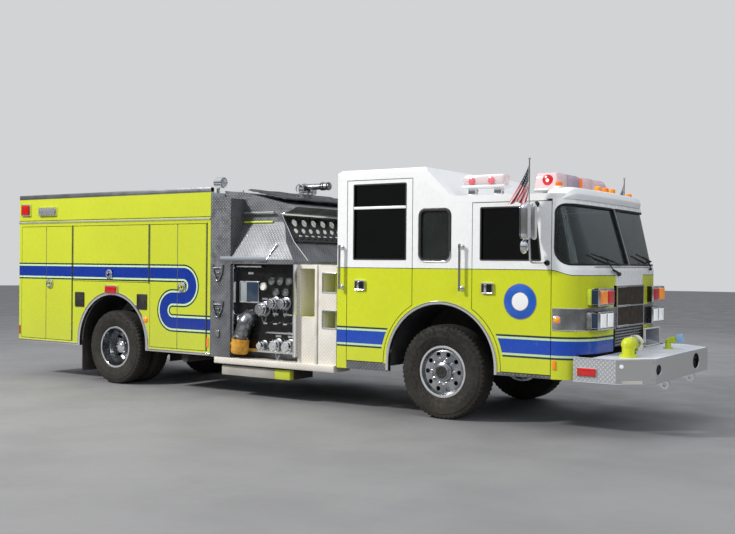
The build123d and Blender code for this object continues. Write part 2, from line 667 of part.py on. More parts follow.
# Door mirrors: two arms, an upright head and a round wide-angle mirror below
with BuildPart() as mirror_right:
    for z in (mirror_foot_z, mirror_head_z):
        rod((mirror_x, -half_width, z), (mirror_x, -mirror_y - 12, z), mirror_rod)
    rod((mirror_x, -mirror_y, mirror_foot_z - 10), (mirror_x, -mirror_y, mirror_head_z + 10), mirror_rod)
    block((mirror_x - 110, mirror_x + 50), (-mirror_y - 30, -mirror_y + 90), (mirror_foot_z + 230, mirror_head_z - 15))
    rod((mirror_x, -mirror_y + 20, mirror_foot_z + 155), (mirror_x - 50, -mirror_y + 20, mirror_foot_z + 155), 75)
keep_pair(mirror_right, "mirror")

# Bumper: folded plate with diamond-plate wings, angled corners, a bright face and a deck
bumper_outline = [(bumper_wing_x, -half_width), (bumper_corner_x, -half_width), (nose_x, -bumper_face_y),
                  (nose_x, bumper_face_y), (bumper_corner_x, half_width), (bumper_wing_x, half_width)]
bumper_inside = [(bumper_wing_x - 1, -half_width + bumper_wall), (bumper_corner_x - 4, -half_width + bumper_wall),
                 (nose_x - bumper_wall, -bumper_face_y + 3), (nose_x - bumper_wall, bumper_face_y - 3),
                 (bumper_corner_x - 4, half_width - bumper_wall), (bumper_wing_x - 1, half_width - bumper_wall)]
tow_radius = 22
with BuildPart() as front_bumper:
    prism(bumper_outline, Plane.XY.offset(bumper_bottom), bumper_top - bumper_bottom)
    prism(bumper_inside, Plane.XY.offset(bumper_bottom - 5), bumper_top - bumper_bottom - bumper_wall + 5,
          mode=Mode.SUBTRACT)
    block((bumper_wing_x - 5, bumper_deck_x), (-half_width + bumper_wall, half_width - bumper_wall),
          (bumper_top - 20, bumper_top + 5), mode=Mode.SUBTRACT)
keep(front_bumper, "front_bumper")

with BuildPart() as tow_eyes:
    for side in (-1, 1):
        with BuildSketch(Plane.XZ.offset(-side * 460 - 12)) as eye:
            with Locations((nose_x - 58, 500)):
                Circle(50)
                Circle(tow_radius, mode=Mode.SUBTRACT)
            with Locations((nose_x - 58 - 70, 520)):
                Rectangle(70, 60)
        extrude(eye.sketch, amount=24)
        block((nose_x - 220, nose_x - 100), (side * 460 - 12, side * 460 + 12), (500, 560))
        block((nose_x - 220, nose_x - 160), (side * (rail_y - rail_wall), side * 472), (540, 640))
keep(tow_eyes, "tow_eyes")

# Pump house: a tower behind sloping hoods, columns at the body, and the front shelf
with BuildPart() as pump_house:
    side_prism([(module_rear_x, module_bottom), (panel_front_x, module_bottom), (panel_front_x, panel_top + 40),
                (console_x, 2020), (console_x - 200, 2380), (console_x + 60, 2480), (column_front_x, 2690),
                (module_rear_x, 2720)], (-tower_y, tower_y))
    side_prism([(module_rear_x, module_bottom), (column_front_x, module_bottom), (column_front_x, 2600),
                (module_rear_x, 2640)], (-half_width, half_width))
    for side in (-1, 1):
        with BuildSketch(Plane.YZ.offset(column_front_x)) as hood:
            with BuildLine():
                Polyline((side * tower_y, hood_top_z), (side * half_width, hood_lip_z),
                         (side * half_width, panel_top), (side * tower_y, panel_top), close=True)
            make_face()
        extrude(hood.sketch, amount=panel_front_x - column_front_x)
    side_prism([(panel_front_x, panel_top + 40), (console_x, 2020), (console_x - 200, 2380),
                (panel_front_x, 2400)], (-half_width - 5, half_width + 5), mode=Mode.SUBTRACT)
    block((module_rear_x - 1, panel_front_x + 1), (-rail_y - 12, rail_y + 12), (0, rail_top), mode=Mode.SUBTRACT)
    rod((monitor_x, 0, 2560), (monitor_x, 0, monitor_base_z - 6), 90)
keep(pump_house, "pump_house")

# Side pump panels, set back below the hoods, and the sloping control console
with BuildPart() as pump_panels:
    for side in (-1, 1):
        block((column_front_x + 5, panel_front_x), (side * tower_y, side * panel_y), (panel_bottom, panel_top))
    console_slope = [(console_x, 2020), (console_x + 26, 2034), (console_x - 164, 2376), (console_x - 190, 2362)]
    side_prism(console_slope, (-tower_y + 5, tower_y - 5))
keep(pump_panels, "pump_panels")

# Walkway between pump and cab: cubby columns, posts, plated steps and a floor
with BuildPart() as walkway:
    block((panel_front_x, module_front_x), (-half_width + 100, half_width - 100), (rail_top, rail_top + 30))
    for side in (-1, 1):
        block((panel_front_x, at(-1750)), (side * 700, side * 1150), (module_bottom, 1740))
        block((panel_front_x + 30, at(-1790)), (side * 750, side * 1160), (1090, 1690), mode=Mode.SUBTRACT)
        block((at(-1750), module_front_x), (side * 900, side * 1190), (module_bottom, 1730))
        for low, high in ((1400, 1640), (960, 1180)):
            block((at(-1690), module_front_x + 5), (side * 940, side * 1200), (low, high), mode=Mode.SUBTRACT)
        block((at(-3430), module_front_x), (side * half_width, side * 900), (board_top - board_wall, module_bottom))
keep(walkway, "walkway")

# Pump fittings: a large intake elbow with a cap, valves, capped outlets and the bumper elbow
intake_radius = 95
elbow_x = at(2070)
with BuildPart() as pump_fittings:
    for side in (-1, 1):
        rod((at(-2960), side * panel_y, 1010), (at(-2960), side * (panel_y + 90), 1010), intake_radius)
        rod((at(-2960), side * (panel_y + 86), 1010), (at(-3000), side * (panel_y + 92), 720), 80)
        rod((at(-3000), side * (panel_y + 98), 740), (at(-3010), side * (panel_y + 98), 600), 92)
        for x, z, radius in ((-2680, 1160, 70), (-2500, 1240, 55), (-2330, 1240, 55), (-2450, 700, 62),
                             (-2680, 690, 40), (-2250, 700, 62)):
            rod((at(x), side * panel_y, z), (at(x), side * (panel_y + 110), z), radius)
    rod((elbow_x, -900, bumper_top), (elbow_x, -900, bumper_top + 30), 90)
    rod((elbow_x, -900, bumper_top + 30), (elbow_x, -900, bumper_top + 130), 65)
    with Locations((elbow_x, -900, bumper_top + 130)):
        Sphere(75)
    rod((elbow_x, -900, bumper_top + 130), (elbow_x, -720, bumper_top + 130), 65)
    rod((elbow_x, -760, bumper_top + 130), (elbow_x, -720, bumper_top + 130), 82)
keep(pump_fittings, "pump_fittings")

# Underbody: side boxes and tanks, mud flaps, and the muffler with a tailpipe out on the right
with BuildPart() as underbody:
    for side in (-1, 1):
        block((at(-3340), at(-2200)), (side * 700, side * 1180), (280, 400))
        block((at(-3340), at(-2200)), (side * 700, side * 890), (400, module_bottom))
    rod((at(-1900), -250, 500), (at(-3300), -250, 500), 110)
    rod((at(-3300), -250, 500), (at(-4060), -250, 450), 58)
    rod((at(-4050), -200, 450), (at(-4050), -1150, 450), 58)
    block((rear_axle_x + 2430, rear_axle_x + 2470), (-300, -200), (590, rail_bottom + 20))
    for side in (-1, 1):
        block((rear_axle_x - rear_arch_radius, rear_axle_x - rear_arch_radius + 8), (side * 1190, side * 600),
              (140, rear_arch_z))
keep(underbody, "underbody")


jamb = 30

# Rear body side: three compartments round a wheel arch, with a bright cap along the top
bed_y = half_width - compartment_depth - 25


def compartment(bay):
    """Cut one compartment and its door opening into the right body side."""
    block((bay["rear"] - running_gap, bay["front"] + running_gap),
          (-half_width - 5, -half_width + door_thickness + 2),
          (bay["sill"] - running_gap, door_head_z + running_gap), mode=Mode.SUBTRACT)
    block((bay["rear"] + jamb, bay["front"] - jamb), (-half_width, -half_width + compartment_depth),
          (bay["sill"] + jamb, door_head_z - 20), mode=Mode.SUBTRACT)


with BuildPart() as body_side:
    block((tail_x, body_front_x), (-half_width, -half_width + compartment_depth + 25), (body_bottom, body_top))
    for bay in bays:
        compartment(bay)
    rod((rear_axle_x, -half_width - 5, rear_arch_z), (rear_axle_x, -500, rear_arch_z), rear_arch_radius,
        mode=Mode.SUBTRACT)
    block((rear_axle_x - rear_arch_radius, rear_axle_x + rear_arch_radius), (-half_width - 5, -500),
          (0, rear_arch_z), mode=Mode.SUBTRACT)

    block((tail_x, body_front_x), (-half_width, -half_width + 60), (body_top, body_trim_top))
    block((tail_x, body_front_x), (-bed_y - 30, -bed_y), (body_top, body_trim_top))
keep_pair(body_side, "body_side")

# Hose bed: rear wall, tank box, bed floor and bulkheads between the two sides
with BuildPart() as hose_bed:
    block((tail_x + 350, body_front_x), (-bed_y, bed_y), (rail_top, 1900))
    block((tail_x + 350, tail_x + 390), (-bed_y, bed_y), (1900, 2500))
    block((body_front_x - 40, body_front_x), (-bed_y, bed_y), (1900, body_top))
    block((tail_x, tail_x + 350), (-bed_y, bed_y), (body_bottom, body_bottom + 60))
keep(hose_bed, "hose_bed")

# Compartment doors: pans with a folded edge, a panel line and a latch
latch = 120
latch_out = 15
for bay in bays:
    leaf = (bay["front"] - bay["rear"] + leaf_gap) / len(bay["doors"])
    for number, name in enumerate(bay["doors"]):
        rear = bay["rear"] + number * leaf
        front = rear + leaf - leaf_gap
        with BuildPart() as body_door:
            block((rear, front), (-half_width, -half_width + door_thickness), (bay["sill"], door_head_z))
            if len(bay["doors"]) == 1:
                middle = (rear + front) / 2
                block((middle - latch / 2, middle + latch / 2), (-half_width - latch_out, -half_width),
                      (bay["sill"] + 40, bay["sill"] + 40 + latch))
            elif number == 1:
                block((rear + jamb, rear + jamb + latch), (-half_width - latch_out, -half_width),
                      (latch_z - latch / 2, latch_z + latch / 2))
        keep_pair(body_door, name)

# Body lamps: rear warning lamps, scene lights, arch lamps and the body spotlights
lamp_out = 25
spot_x = body_front_x - 87
spot_y = half_width - 235
spot_z = body_top + 143
body_lamp_table = (
    dict(x=tail_x + 172, z=body_top - 157, width=210, height=180),
    dict(x=tail_x + 682, z=body_top - 187, width=400, height=130),
    dict(x=rear_axle_x - 7, z=rear_arch_z + rear_arch_radius + 70, width=250, height=130),
)
with BuildPart() as body_lamps:
    for lamp in body_lamp_table:
        block((lamp["x"] - lamp["width"] / 2, lamp["x"] + lamp["width"] / 2), (-half_width - lamp_out, -half_width),
              (lamp["z"] - lamp["height"] / 2, lamp["z"] + lamp["height"] / 2))
    rod((spot_x, -spot_y, body_top), (spot_x, -spot_y, spot_z - 40), 22)
    rod((spot_x - 20, -spot_y, spot_z), (spot_x + 100, -spot_y, spot_z), 75)
    both_sides()
keep(body_lamps, "body_lamps")

# Hand rails on the pump house
with BuildPart() as hand_rails:
    for low_x, high_x, y, z in ((-3120, -2620, tower_y, 2410), (-3120, -2700, panel_y, 1710)):
        rod((at(low_x), -y - 45, z), (at(high_x), -y - 45, z), rail_radius)
        for x in (low_x + 30, high_x - 30):
            rod((at(x), -y - 45, z), (at(x), -y, z), rail_radius - 4)
    both_sides()
keep(hand_rails, "hand_rails")

# Deck monitor: a swivelling fork, and a barrel that tips in it
with BuildPart() as monitor_fork:
    rod((monitor_x, 0, monitor_base_z), (monitor_x, 0, 2750), 70)
    for side in (-1, 1):
        block((monitor_x - 45, monitor_x + 45), (side * 62, side * 80), (2740, 2850))
keep(monitor_fork, "monitor_fork")

with BuildPart() as monitor_barrel:
    with Locations((monitor_x, 0, 2815)):
        Sphere(54)
    rod((monitor_x, 0, 2815), (monitor_x + 300, 0, 2815), 42)
    rod((monitor_x + 290, 0, 2815), (monitor_x + 430, 0, 2815), 50)
keep(monitor_barrel, "monitor_barrel")
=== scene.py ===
"""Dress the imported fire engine: paint, glass, lamps, fittings, tyres, seats, floor, lights and camera."""
import functools
import json
import logging
import math
from collections.abc import Callable
from dataclasses import dataclass
from enum import Enum

import bmesh
import bpy
import numpy as np
from mathutils import Matrix

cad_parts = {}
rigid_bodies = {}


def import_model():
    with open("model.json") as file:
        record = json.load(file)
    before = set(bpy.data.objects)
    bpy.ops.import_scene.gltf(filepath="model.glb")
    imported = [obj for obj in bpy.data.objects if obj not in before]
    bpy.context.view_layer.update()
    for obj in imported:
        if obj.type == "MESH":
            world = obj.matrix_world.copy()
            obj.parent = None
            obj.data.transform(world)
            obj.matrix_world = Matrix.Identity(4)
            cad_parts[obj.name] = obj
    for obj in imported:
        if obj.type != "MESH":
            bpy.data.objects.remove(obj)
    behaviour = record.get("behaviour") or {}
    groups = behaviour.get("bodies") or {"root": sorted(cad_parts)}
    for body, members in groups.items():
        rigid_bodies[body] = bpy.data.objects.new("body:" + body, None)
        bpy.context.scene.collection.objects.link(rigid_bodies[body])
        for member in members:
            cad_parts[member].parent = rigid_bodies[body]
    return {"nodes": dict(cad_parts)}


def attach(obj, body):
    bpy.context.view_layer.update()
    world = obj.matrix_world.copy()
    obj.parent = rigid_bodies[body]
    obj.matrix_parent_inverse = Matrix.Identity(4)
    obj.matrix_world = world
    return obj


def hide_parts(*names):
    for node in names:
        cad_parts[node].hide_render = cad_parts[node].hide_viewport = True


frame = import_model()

LOG = logging.getLogger("fire_engine")
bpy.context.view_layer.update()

FRONT_AXLE = 2.5695
REAR_AXLE = -2.8405
HALF_WIDTH = 1.235
TAIL = -4.9475
NOSE = 4.9475
BELT = 1.71
BELT_LOW = 1.655
ARCH_HEIGHT = 0.62
DUST_TOP = 1.2
PLATE_PITCH = 0.034
SQUARE_TO_SURFACE = 0.7
FAR_AWAY = 10.0
TURN = 2 * math.pi

Socket = bpy.types.NodeSocket
Sockets = bpy.types.bpy_prop_collection


def at(x: float) -> float:
    """Place a length measured forward of the front axle."""
    return FRONT_AXLE + x


class Side(Enum):
    """The side of the vehicle, with its sign on Y."""

    RIGHT = -1
    LEFT = 1

    @property
    def word(self) -> str:
        """Give the side's name as the bodies use it."""
        return self.name.lower()


@dataclass
class Shape:
    """Points and faces of a surface, as whole arrays; a face runs anticlockwise seen from outside."""

    points: np.ndarray
    faces: list
    uv: np.ndarray | None = None

    def moved(self, x: float = 0.0, y: float = 0.0, z: float = 0.0) -> "Shape":
        """Give a copy shifted by a distance on each axis."""
        return Shape(self.points + np.array([x, y, z]), self.faces, self.uv)

    def turned(self, axis: tuple, degrees: float, centre: tuple = (0, 0, 0)) -> "Shape":
        """Give a copy turned about an axis through a point."""
        middle = np.array(centre, float)
        return Shape((self.points - middle) @ rotation(axis, degrees).T + middle, self.faces, self.uv)

    def mirrored(self) -> "Shape":
        """Give the mirror image across the vehicle's middle, with its faces still outwards."""
        return Shape(self.points * np.array([1, -1, 1]), [f[:, ::-1] for f in self.faces], self.uv)

    def to_side(self, side: Side) -> "Shape":
        """Give the shape as it is for the right side, or its mirror image for the left."""
        return self if side is Side.RIGHT else self.mirrored()

    def repeated(self, offsets: np.ndarray) -> "Shape":
        """Give one shape made of a copy at each offset.

        Args:
            offsets: Rows of X, Y and Z.

        Returns:
            The copies together.
        """
        shifts = np.atleast_2d(np.asarray(offsets, float))
        steps = (np.arange(len(shifts)) * len(self.points))[:, None, None]
        points = (self.points[None] + shifts[:, None]).reshape(-1, 3)
        uv = None if self.uv is None else np.tile(self.uv, (len(shifts), 1))
        return Shape(points, [(f[None] + steps).reshape(-1, f.shape[1]) for f in self.faces], uv)

    def spun(self, axis: tuple, centre: tuple, count: int) -> "Shape":
        """Give copies spaced evenly round an axis through a point."""
        return joined(*(self.turned(axis, 360 * k / count, centre) for k in range(count)))

    def mesh(self, name: str) -> bpy.types.Mesh:
        """Give it as a new Blender mesh."""
        mesh = bpy.data.meshes.new(name)
        mesh.from_pydata(self.points.tolist(), [], [corners for f in self.faces for corners in f.tolist()])
        return mesh


def joined(*shapes: Shape) -> Shape:
    """Put several shapes together as one."""
    starts = np.cumsum([0] + [len(s.points) for s in shapes[:-1]])
    faces = [f + start for s, start in zip(shapes, starts) for f in s.faces]
    uv = None if any(s.uv is None for s in shapes) else np.concatenate([s.uv for s in shapes])
    return Shape(np.concatenate([s.points for s in shapes]), faces, uv)


def rotation(axis: tuple, degrees: float) -> np.ndarray:
    """Give the matrix of a turn: the axis part stays, and the rest turns by cosine and sine."""
    x, y, z = np.array(axis, float) / np.linalg.norm(axis)
    c, s = math.cos(math.radians(degrees)), math.sin(math.radians(degrees))
    skew = np.array([[0, -z, y], [z, 0, -x], [-y, x, 0]])
    along = np.outer((x, y, z), (x, y, z))
    return along + c * (np.eye(3) - along) + s * skew


def unit(vectors: np.ndarray) -> np.ndarray:
    """Scale each row to length one."""
    return vectors / np.maximum(np.linalg.norm(vectors, axis=-1, keepdims=True), 1e-12)


def rounded(points: list, radius: float, steps: int = 5, closed: bool = True) -> np.ndarray:
    """Round the corners of a path of straight runs.

    Each corner becomes a circular arc written as a conic: its two tangent points and the corner itself, the
    corner weighted by the sine of half the angle inside it.

    Args:
        points: The path's corners, in two or three dimensions.
        radius: The arcs' radius, or one for each corner.
        steps: Pieces in each arc.
        closed: Whether the path returns to its start.

    Returns:
        The points of the rounded path.
    """
    path = np.array(points, float)
    radii = np.broadcast_to(np.asarray(radius, float), len(path))
    corners = path if closed else path[1:-1]
    radii = radii if closed else radii[1:-1]
    before = np.roll(path, 1, axis=0) if closed else path[:-2]
    after = np.roll(path, -1, axis=0) if closed else path[2:]
    back, ahead = unit(before - corners), unit(after - corners)
    half = np.arccos(np.clip((back * ahead).sum(1), -1, 1)) / 2
    reach = (radii / np.tan(half))[:, None]
    s = np.linspace(0, 1, steps + 1)[None, :, None]
    weight = np.sin(half)[:, None, None]
    first, last = (corners + back * reach)[:, None], (corners + ahead * reach)[:, None]
    share = ((1 - s) ** 2, 2 * s * (1 - s) * weight, s**2)
    arcs = (share[0] * first + share[1] * corners[:, None] + share[2] * last) / sum(share)
    flat = arcs.reshape(-1, path.shape[1])
    return flat if closed else np.concatenate([path[:1], flat, path[-1:]])


def rectangle(width: float, height: float, radius: float = 0.0, centre: tuple = (0, 0),
              steps: int = 4) -> np.ndarray:
    """Give a rectangle's outline, anticlockwise, with round corners where a radius is given."""
    x, y = width / 2, height / 2
    corners = np.array([(-x, -y), (x, -y), (x, y), (-x, y)]) + np.array(centre)
    return rounded(corners, radius, steps) if radius > 0 else corners


def circle(radius: float, count: int = 32, centre: tuple = (0, 0)) -> np.ndarray:
    """Give a circle's outline: cosine and sine of evenly spaced angles."""
    angles = np.arange(count) * TURN / count
    return radius * np.stack([np.cos(angles), np.sin(angles)], 1) + np.array(centre)


def outline_normals(outline: np.ndarray) -> np.ndarray:
    """Give each corner's outward direction, long enough to shift both edges there by one."""
    edges = unit(np.roll(outline, -1, axis=0) - outline)
    ahead = np.stack([edges[:, 1], -edges[:, 0]], 1)
    behind = np.roll(ahead, 1, axis=0)
    return (ahead + behind) / np.maximum(1 + (ahead * behind).sum(1, keepdims=True), 0.2)


@dataclass(frozen=True)
class Plane:
    """A drawing plane: its origin, two directions in it and the direction out of it."""

    origin: tuple
    u: tuple
    v: tuple

    def place(self, outline: np.ndarray, out: float = 0.0) -> np.ndarray:
        """Put drawn points in space, a distance out of the plane."""
        u, v = np.array(self.u, float), np.array(self.v, float)
        flat = np.asarray(outline, float)
        return np.array(self.origin, float) + flat[..., :1] * u + flat[..., 1:2] * v + out * np.cross(u, v)

    def outward(self, directions: np.ndarray) -> np.ndarray:
        """Turn drawn directions into directions in space."""
        return directions[:, :1] * np.array(self.u, float) + directions[:, 1:2] * np.array(self.v, float)


def side_plane(y: float = HALF_WIDTH) -> Plane:
    """Give the plane of the right side: X across it and Z up it, facing out."""
    return Plane((0, -y, 0), (1, 0, 0), (0, 0, 1))


def front_plane(x: float) -> Plane:
    """Give a plane across the vehicle that faces forwards: Y across it and Z up it."""
    return Plane((x, 0, 0), (0, 1, 0), (0, 0, 1))


def rear_plane(x: float) -> Plane:
    """Give a plane across the vehicle that faces backwards: minus Y across it and Z up it."""
    return Plane((x, 0, 0), (0, -1, 0), (0, 0, 1))


def top_plane(z: float) -> Plane:
    """Give a level plane that faces up: X and Y in it."""
    return Plane((0, 0, z), (1, 0, 0), (0, 1, 0))


def grid(points: np.ndarray, uv: bool = False) -> Shape:
    """Make an open sheet over a grid of points; it faces the first direction crossed with the second."""
    rows, columns = points.shape[:2]
    index = np.arange(rows * columns).reshape(rows, columns)
    quads = np.stack([index[:-1, :-1], index[1:, :-1], index[1:, 1:], index[:-1, 1:]], -1).reshape(-1, 4)
    u, v = np.meshgrid(np.linspace(0, 1, rows), np.linspace(0, 1, columns), indexing="ij")
    return Shape(points.reshape(-1, 3), [quads], np.stack([u, v], -1).reshape(-1, 2) if uv else None)


def loft(loops: np.ndarray, caps: bool = True, closed: bool = False) -> Shape:
    """Skin a row of closed loops.

    Args:
        loops: Loops by points by three; each loop runs anticlockwise about the way from loop to loop.
        caps: Whether both ends are closed by one face.
        closed: Whether the last loop joins the first.

    Returns:
        The skin, facing outwards.
    """
    count, size = loops.shape[:2]
    index = np.arange(count * size).reshape(count, size)
    ahead = np.roll(index, -1, axis=0) if closed else index[1:]
    here = index if closed else index[:-1]
    quads = np.stack([here, np.roll(here, -1, 1), np.roll(ahead, -1, 1), ahead], -1).reshape(-1, 4)
    faces = [quads]
    if caps and not closed:
        faces += [index[:1, ::-1], index[-1:]]
    return Shape(loops.reshape(-1, 3), faces)


def slab(outline: np.ndarray, plane: Plane, low: float, high: float, bevel: float = 0.0,
         steps: int = 3) -> Shape:
    """Give a flat piece its thickness, with rounded rims.

    Near each face the outline draws in by the bevel times one minus the sine of an angle while its height
    rises by the cosine, which is a quarter circle.

    Args:
        outline: The outline, anticlockwise in the plane.
        plane: The plane that it is drawn on.
        low: Where the piece starts, out of the plane.
        high: Where it ends.
        bevel: Radius of the rims.
        steps: Pieces in each rim.

    Returns:
        The closed piece.
    """
    if bevel <= 0:
        return loft(np.stack([plane.place(outline, low), plane.place(outline, high)]))
    angles = np.linspace(0, math.pi / 2, steps + 1)
    inward = bevel * (1 - np.sin(angles))
    rise = bevel * (1 - np.cos(angles))
    levels = np.concatenate([low + rise, high - rise[::-1]])
    shrink = np.concatenate([inward, inward[::-1]])
    normals = outline_normals(outline)
    return loft(np.stack([plane.place(outline - normals * s, z) for s, z in zip(shrink, levels)]))


def box(low: tuple, high: tuple, radius: float = 0.0, steps: int = 2) -> Shape:
    """Give a box between two corners, with its edges rounded."""
    (x0, y0, z0), (x1, y1, z1) = low, high
    outline = rectangle(x1 - x0, y1 - y0, radius, ((x0 + x1) / 2, (y0 + y1) / 2), steps)
    return slab(outline, top_plane(0), z0, z1, radius, steps)


def across(direction: np.ndarray) -> np.ndarray:
    """Give a direction square to another one."""
    helper = np.eye(3)[np.argmin(np.abs(direction))]
    return unit(np.cross(direction, helper)[None])[0]


def lathe(profile: list, centre: tuple, axis: tuple = (0, -1, 0), count: int = 48,
          closed: bool = False) -> Shape:
    """Turn a profile about an axis.

    Args:
        profile: Pairs of distance along the axis and radius, so that outside faces come while going along it.
        centre: A point on the axis, where the distance is nought.
        axis: The axis's direction.
        count: Points round the axis.
        closed: Whether the profile returns to its start, as a tyre's does.

    Returns:
        The turned shape, open ended where its profile stops off the axis.
    """
    line = np.array(profile, float)
    way = np.array(axis, float) / np.linalg.norm(axis)
    first = across(way)
    second = np.cross(way, first)
    angles = np.arange(count) * TURN / count
    spokes = np.cos(angles)[:, None] * first + np.sin(angles)[:, None] * second
    loops = np.array(centre, float) + line[:, 0, None, None] * way + line[:, 1, None, None] * spokes
    return loft(loops, caps=False, closed=closed)


def sweep(path: np.ndarray, section: np.ndarray, out: np.ndarray, closed: bool = False,
          scale: np.ndarray | None = None) -> Shape:
    """Carry a section along a path.

    Args:
        path: The path's points.
        section: Pairs of distance along `out` and across it, anticlockwise looking back along the path.
        out: One direction for the whole path, or one for each point.
        closed: Whether the path returns to its start.
        scale: The section's size at each point.

    Returns:
        The swept shape, closed at its ends.
    """
    line = np.asarray(path, float)
    if closed:
        along = unit(np.roll(line, -1, axis=0) - np.roll(line, 1, axis=0))
    else:
        along = unit(np.gradient(line, axis=0))
    first = np.broadcast_to(np.asarray(out, float), line.shape)
    first = unit(first - along * (first * along).sum(1, keepdims=True))
    second = np.cross(along, first)
    size = np.ones(len(line)) if scale is None else np.asarray(scale, float)
    part = section[None] * size[:, None, None]
    loops = line[:, None] + part[..., :1] * first[:, None] + part[..., 1:2] * second[:, None]
    return loft(loops, closed=closed)


def tube(path: list, radius: float, count: int = 10, closed: bool = False,
         scale: np.ndarray | None = None) -> Shape:
    """Carry a circle along a flat path; the circle stands on the normal of the path's own plane."""
    line = np.asarray(path, float)
    spread = line - line.mean(0)
    flat = np.linalg.svd(spread, full_matrices=True)[2]
    out = across(unit(line[-1:] - line[:1])[0]) if len(line) == 2 else flat[2]
    return sweep(line, circle(radius, count), out, closed, scale)


def band(outline: np.ndarray, plane: Plane, section: list) -> Shape:
    """Carry a section of (outward, out of the plane) pairs, anticlockwise, round a closed outline."""
    part = np.array(section, float)[::-1] * np.array([1, -1])
    return sweep(plane.place(outline), part, plane.outward(outline_normals(outline)), closed=True)


def bar(start: tuple, end: tuple, radius: float, count: int = 12, bevel: float = 0.0) -> Shape:
    """Give a round bar between two points, with its rims rounded."""
    way = np.array(end, float) - np.array(start, float)
    length = float(np.linalg.norm(way))
    rim = bevel or radius * 0.15
    return lathe([(0, 0), (0, radius - rim), (rim, radius), (length - rim, radius), (length, radius - rim),
                  (length, 0)], start, tuple(way), count)


def make(name: str, shape: Shape, finish: "Finish", body: str, replaces: tuple = (), crease: float = 35.0,
         smooth: bool = True) -> bpy.types.Object:
    """Turn a shape into a finished piece that rides on a body.

    Args:
        name: The piece's name.
        shape: Its points and faces.
        finish: What it is made of.
        body: The body it moves with.
        replaces: CAD nodes that it stands for.
        crease: Angle in degrees past which an edge stays sharp.
        smooth: Whether its faces shade smoothly.

    Returns:
        The new object.
    """
    mesh = shape.mesh(name)
    if shape.uv is not None:
        layer = mesh.uv_layers.new(name="UVMap")
        loops = np.zeros(len(mesh.loops), np.int32)
        mesh.loops.foreach_get("vertex_index", loops)
        layer.data.foreach_set("uv", shape.uv[loops].astype(np.float32).ravel())
    work = bmesh.new()
    work.from_mesh(mesh)
    bmesh.ops.remove_doubles(work, verts=work.verts, dist=1e-6)
    work.to_mesh(mesh)
    work.free()
    mesh.validate()
    mesh.polygons.foreach_set("use_smooth", np.full(len(mesh.polygons), smooth))
    if smooth:
        mesh.set_sharp_from_angle(angle=math.radians(crease))
    piece = bpy.data.objects.new(name, mesh)
    bpy.context.scene.collection.objects.link(piece)
    mesh.materials.append(finish.material())
    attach(piece, body)
    if replaces:
        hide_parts(*replaces)
    return piece


def dress(finish: "Finish", *nodes: str) -> None:
    """Give CAD nodes a finish."""
    for name in nodes:
        slots = frame["nodes"][name].data.materials
        slots.clear()
        slots.append(finish.material())


def tone(red: int, green: int, blue: int) -> tuple:
    """Give a display colour, 0 to 255, as the linear colour that shaders use."""
    share = np.array([red, green, blue]) / 255
    linear = np.where(share <= 0.04045, share / 12.92, ((share + 0.055) / 1.055) ** 2.4)
    return (*linear.tolist(), 1.0)


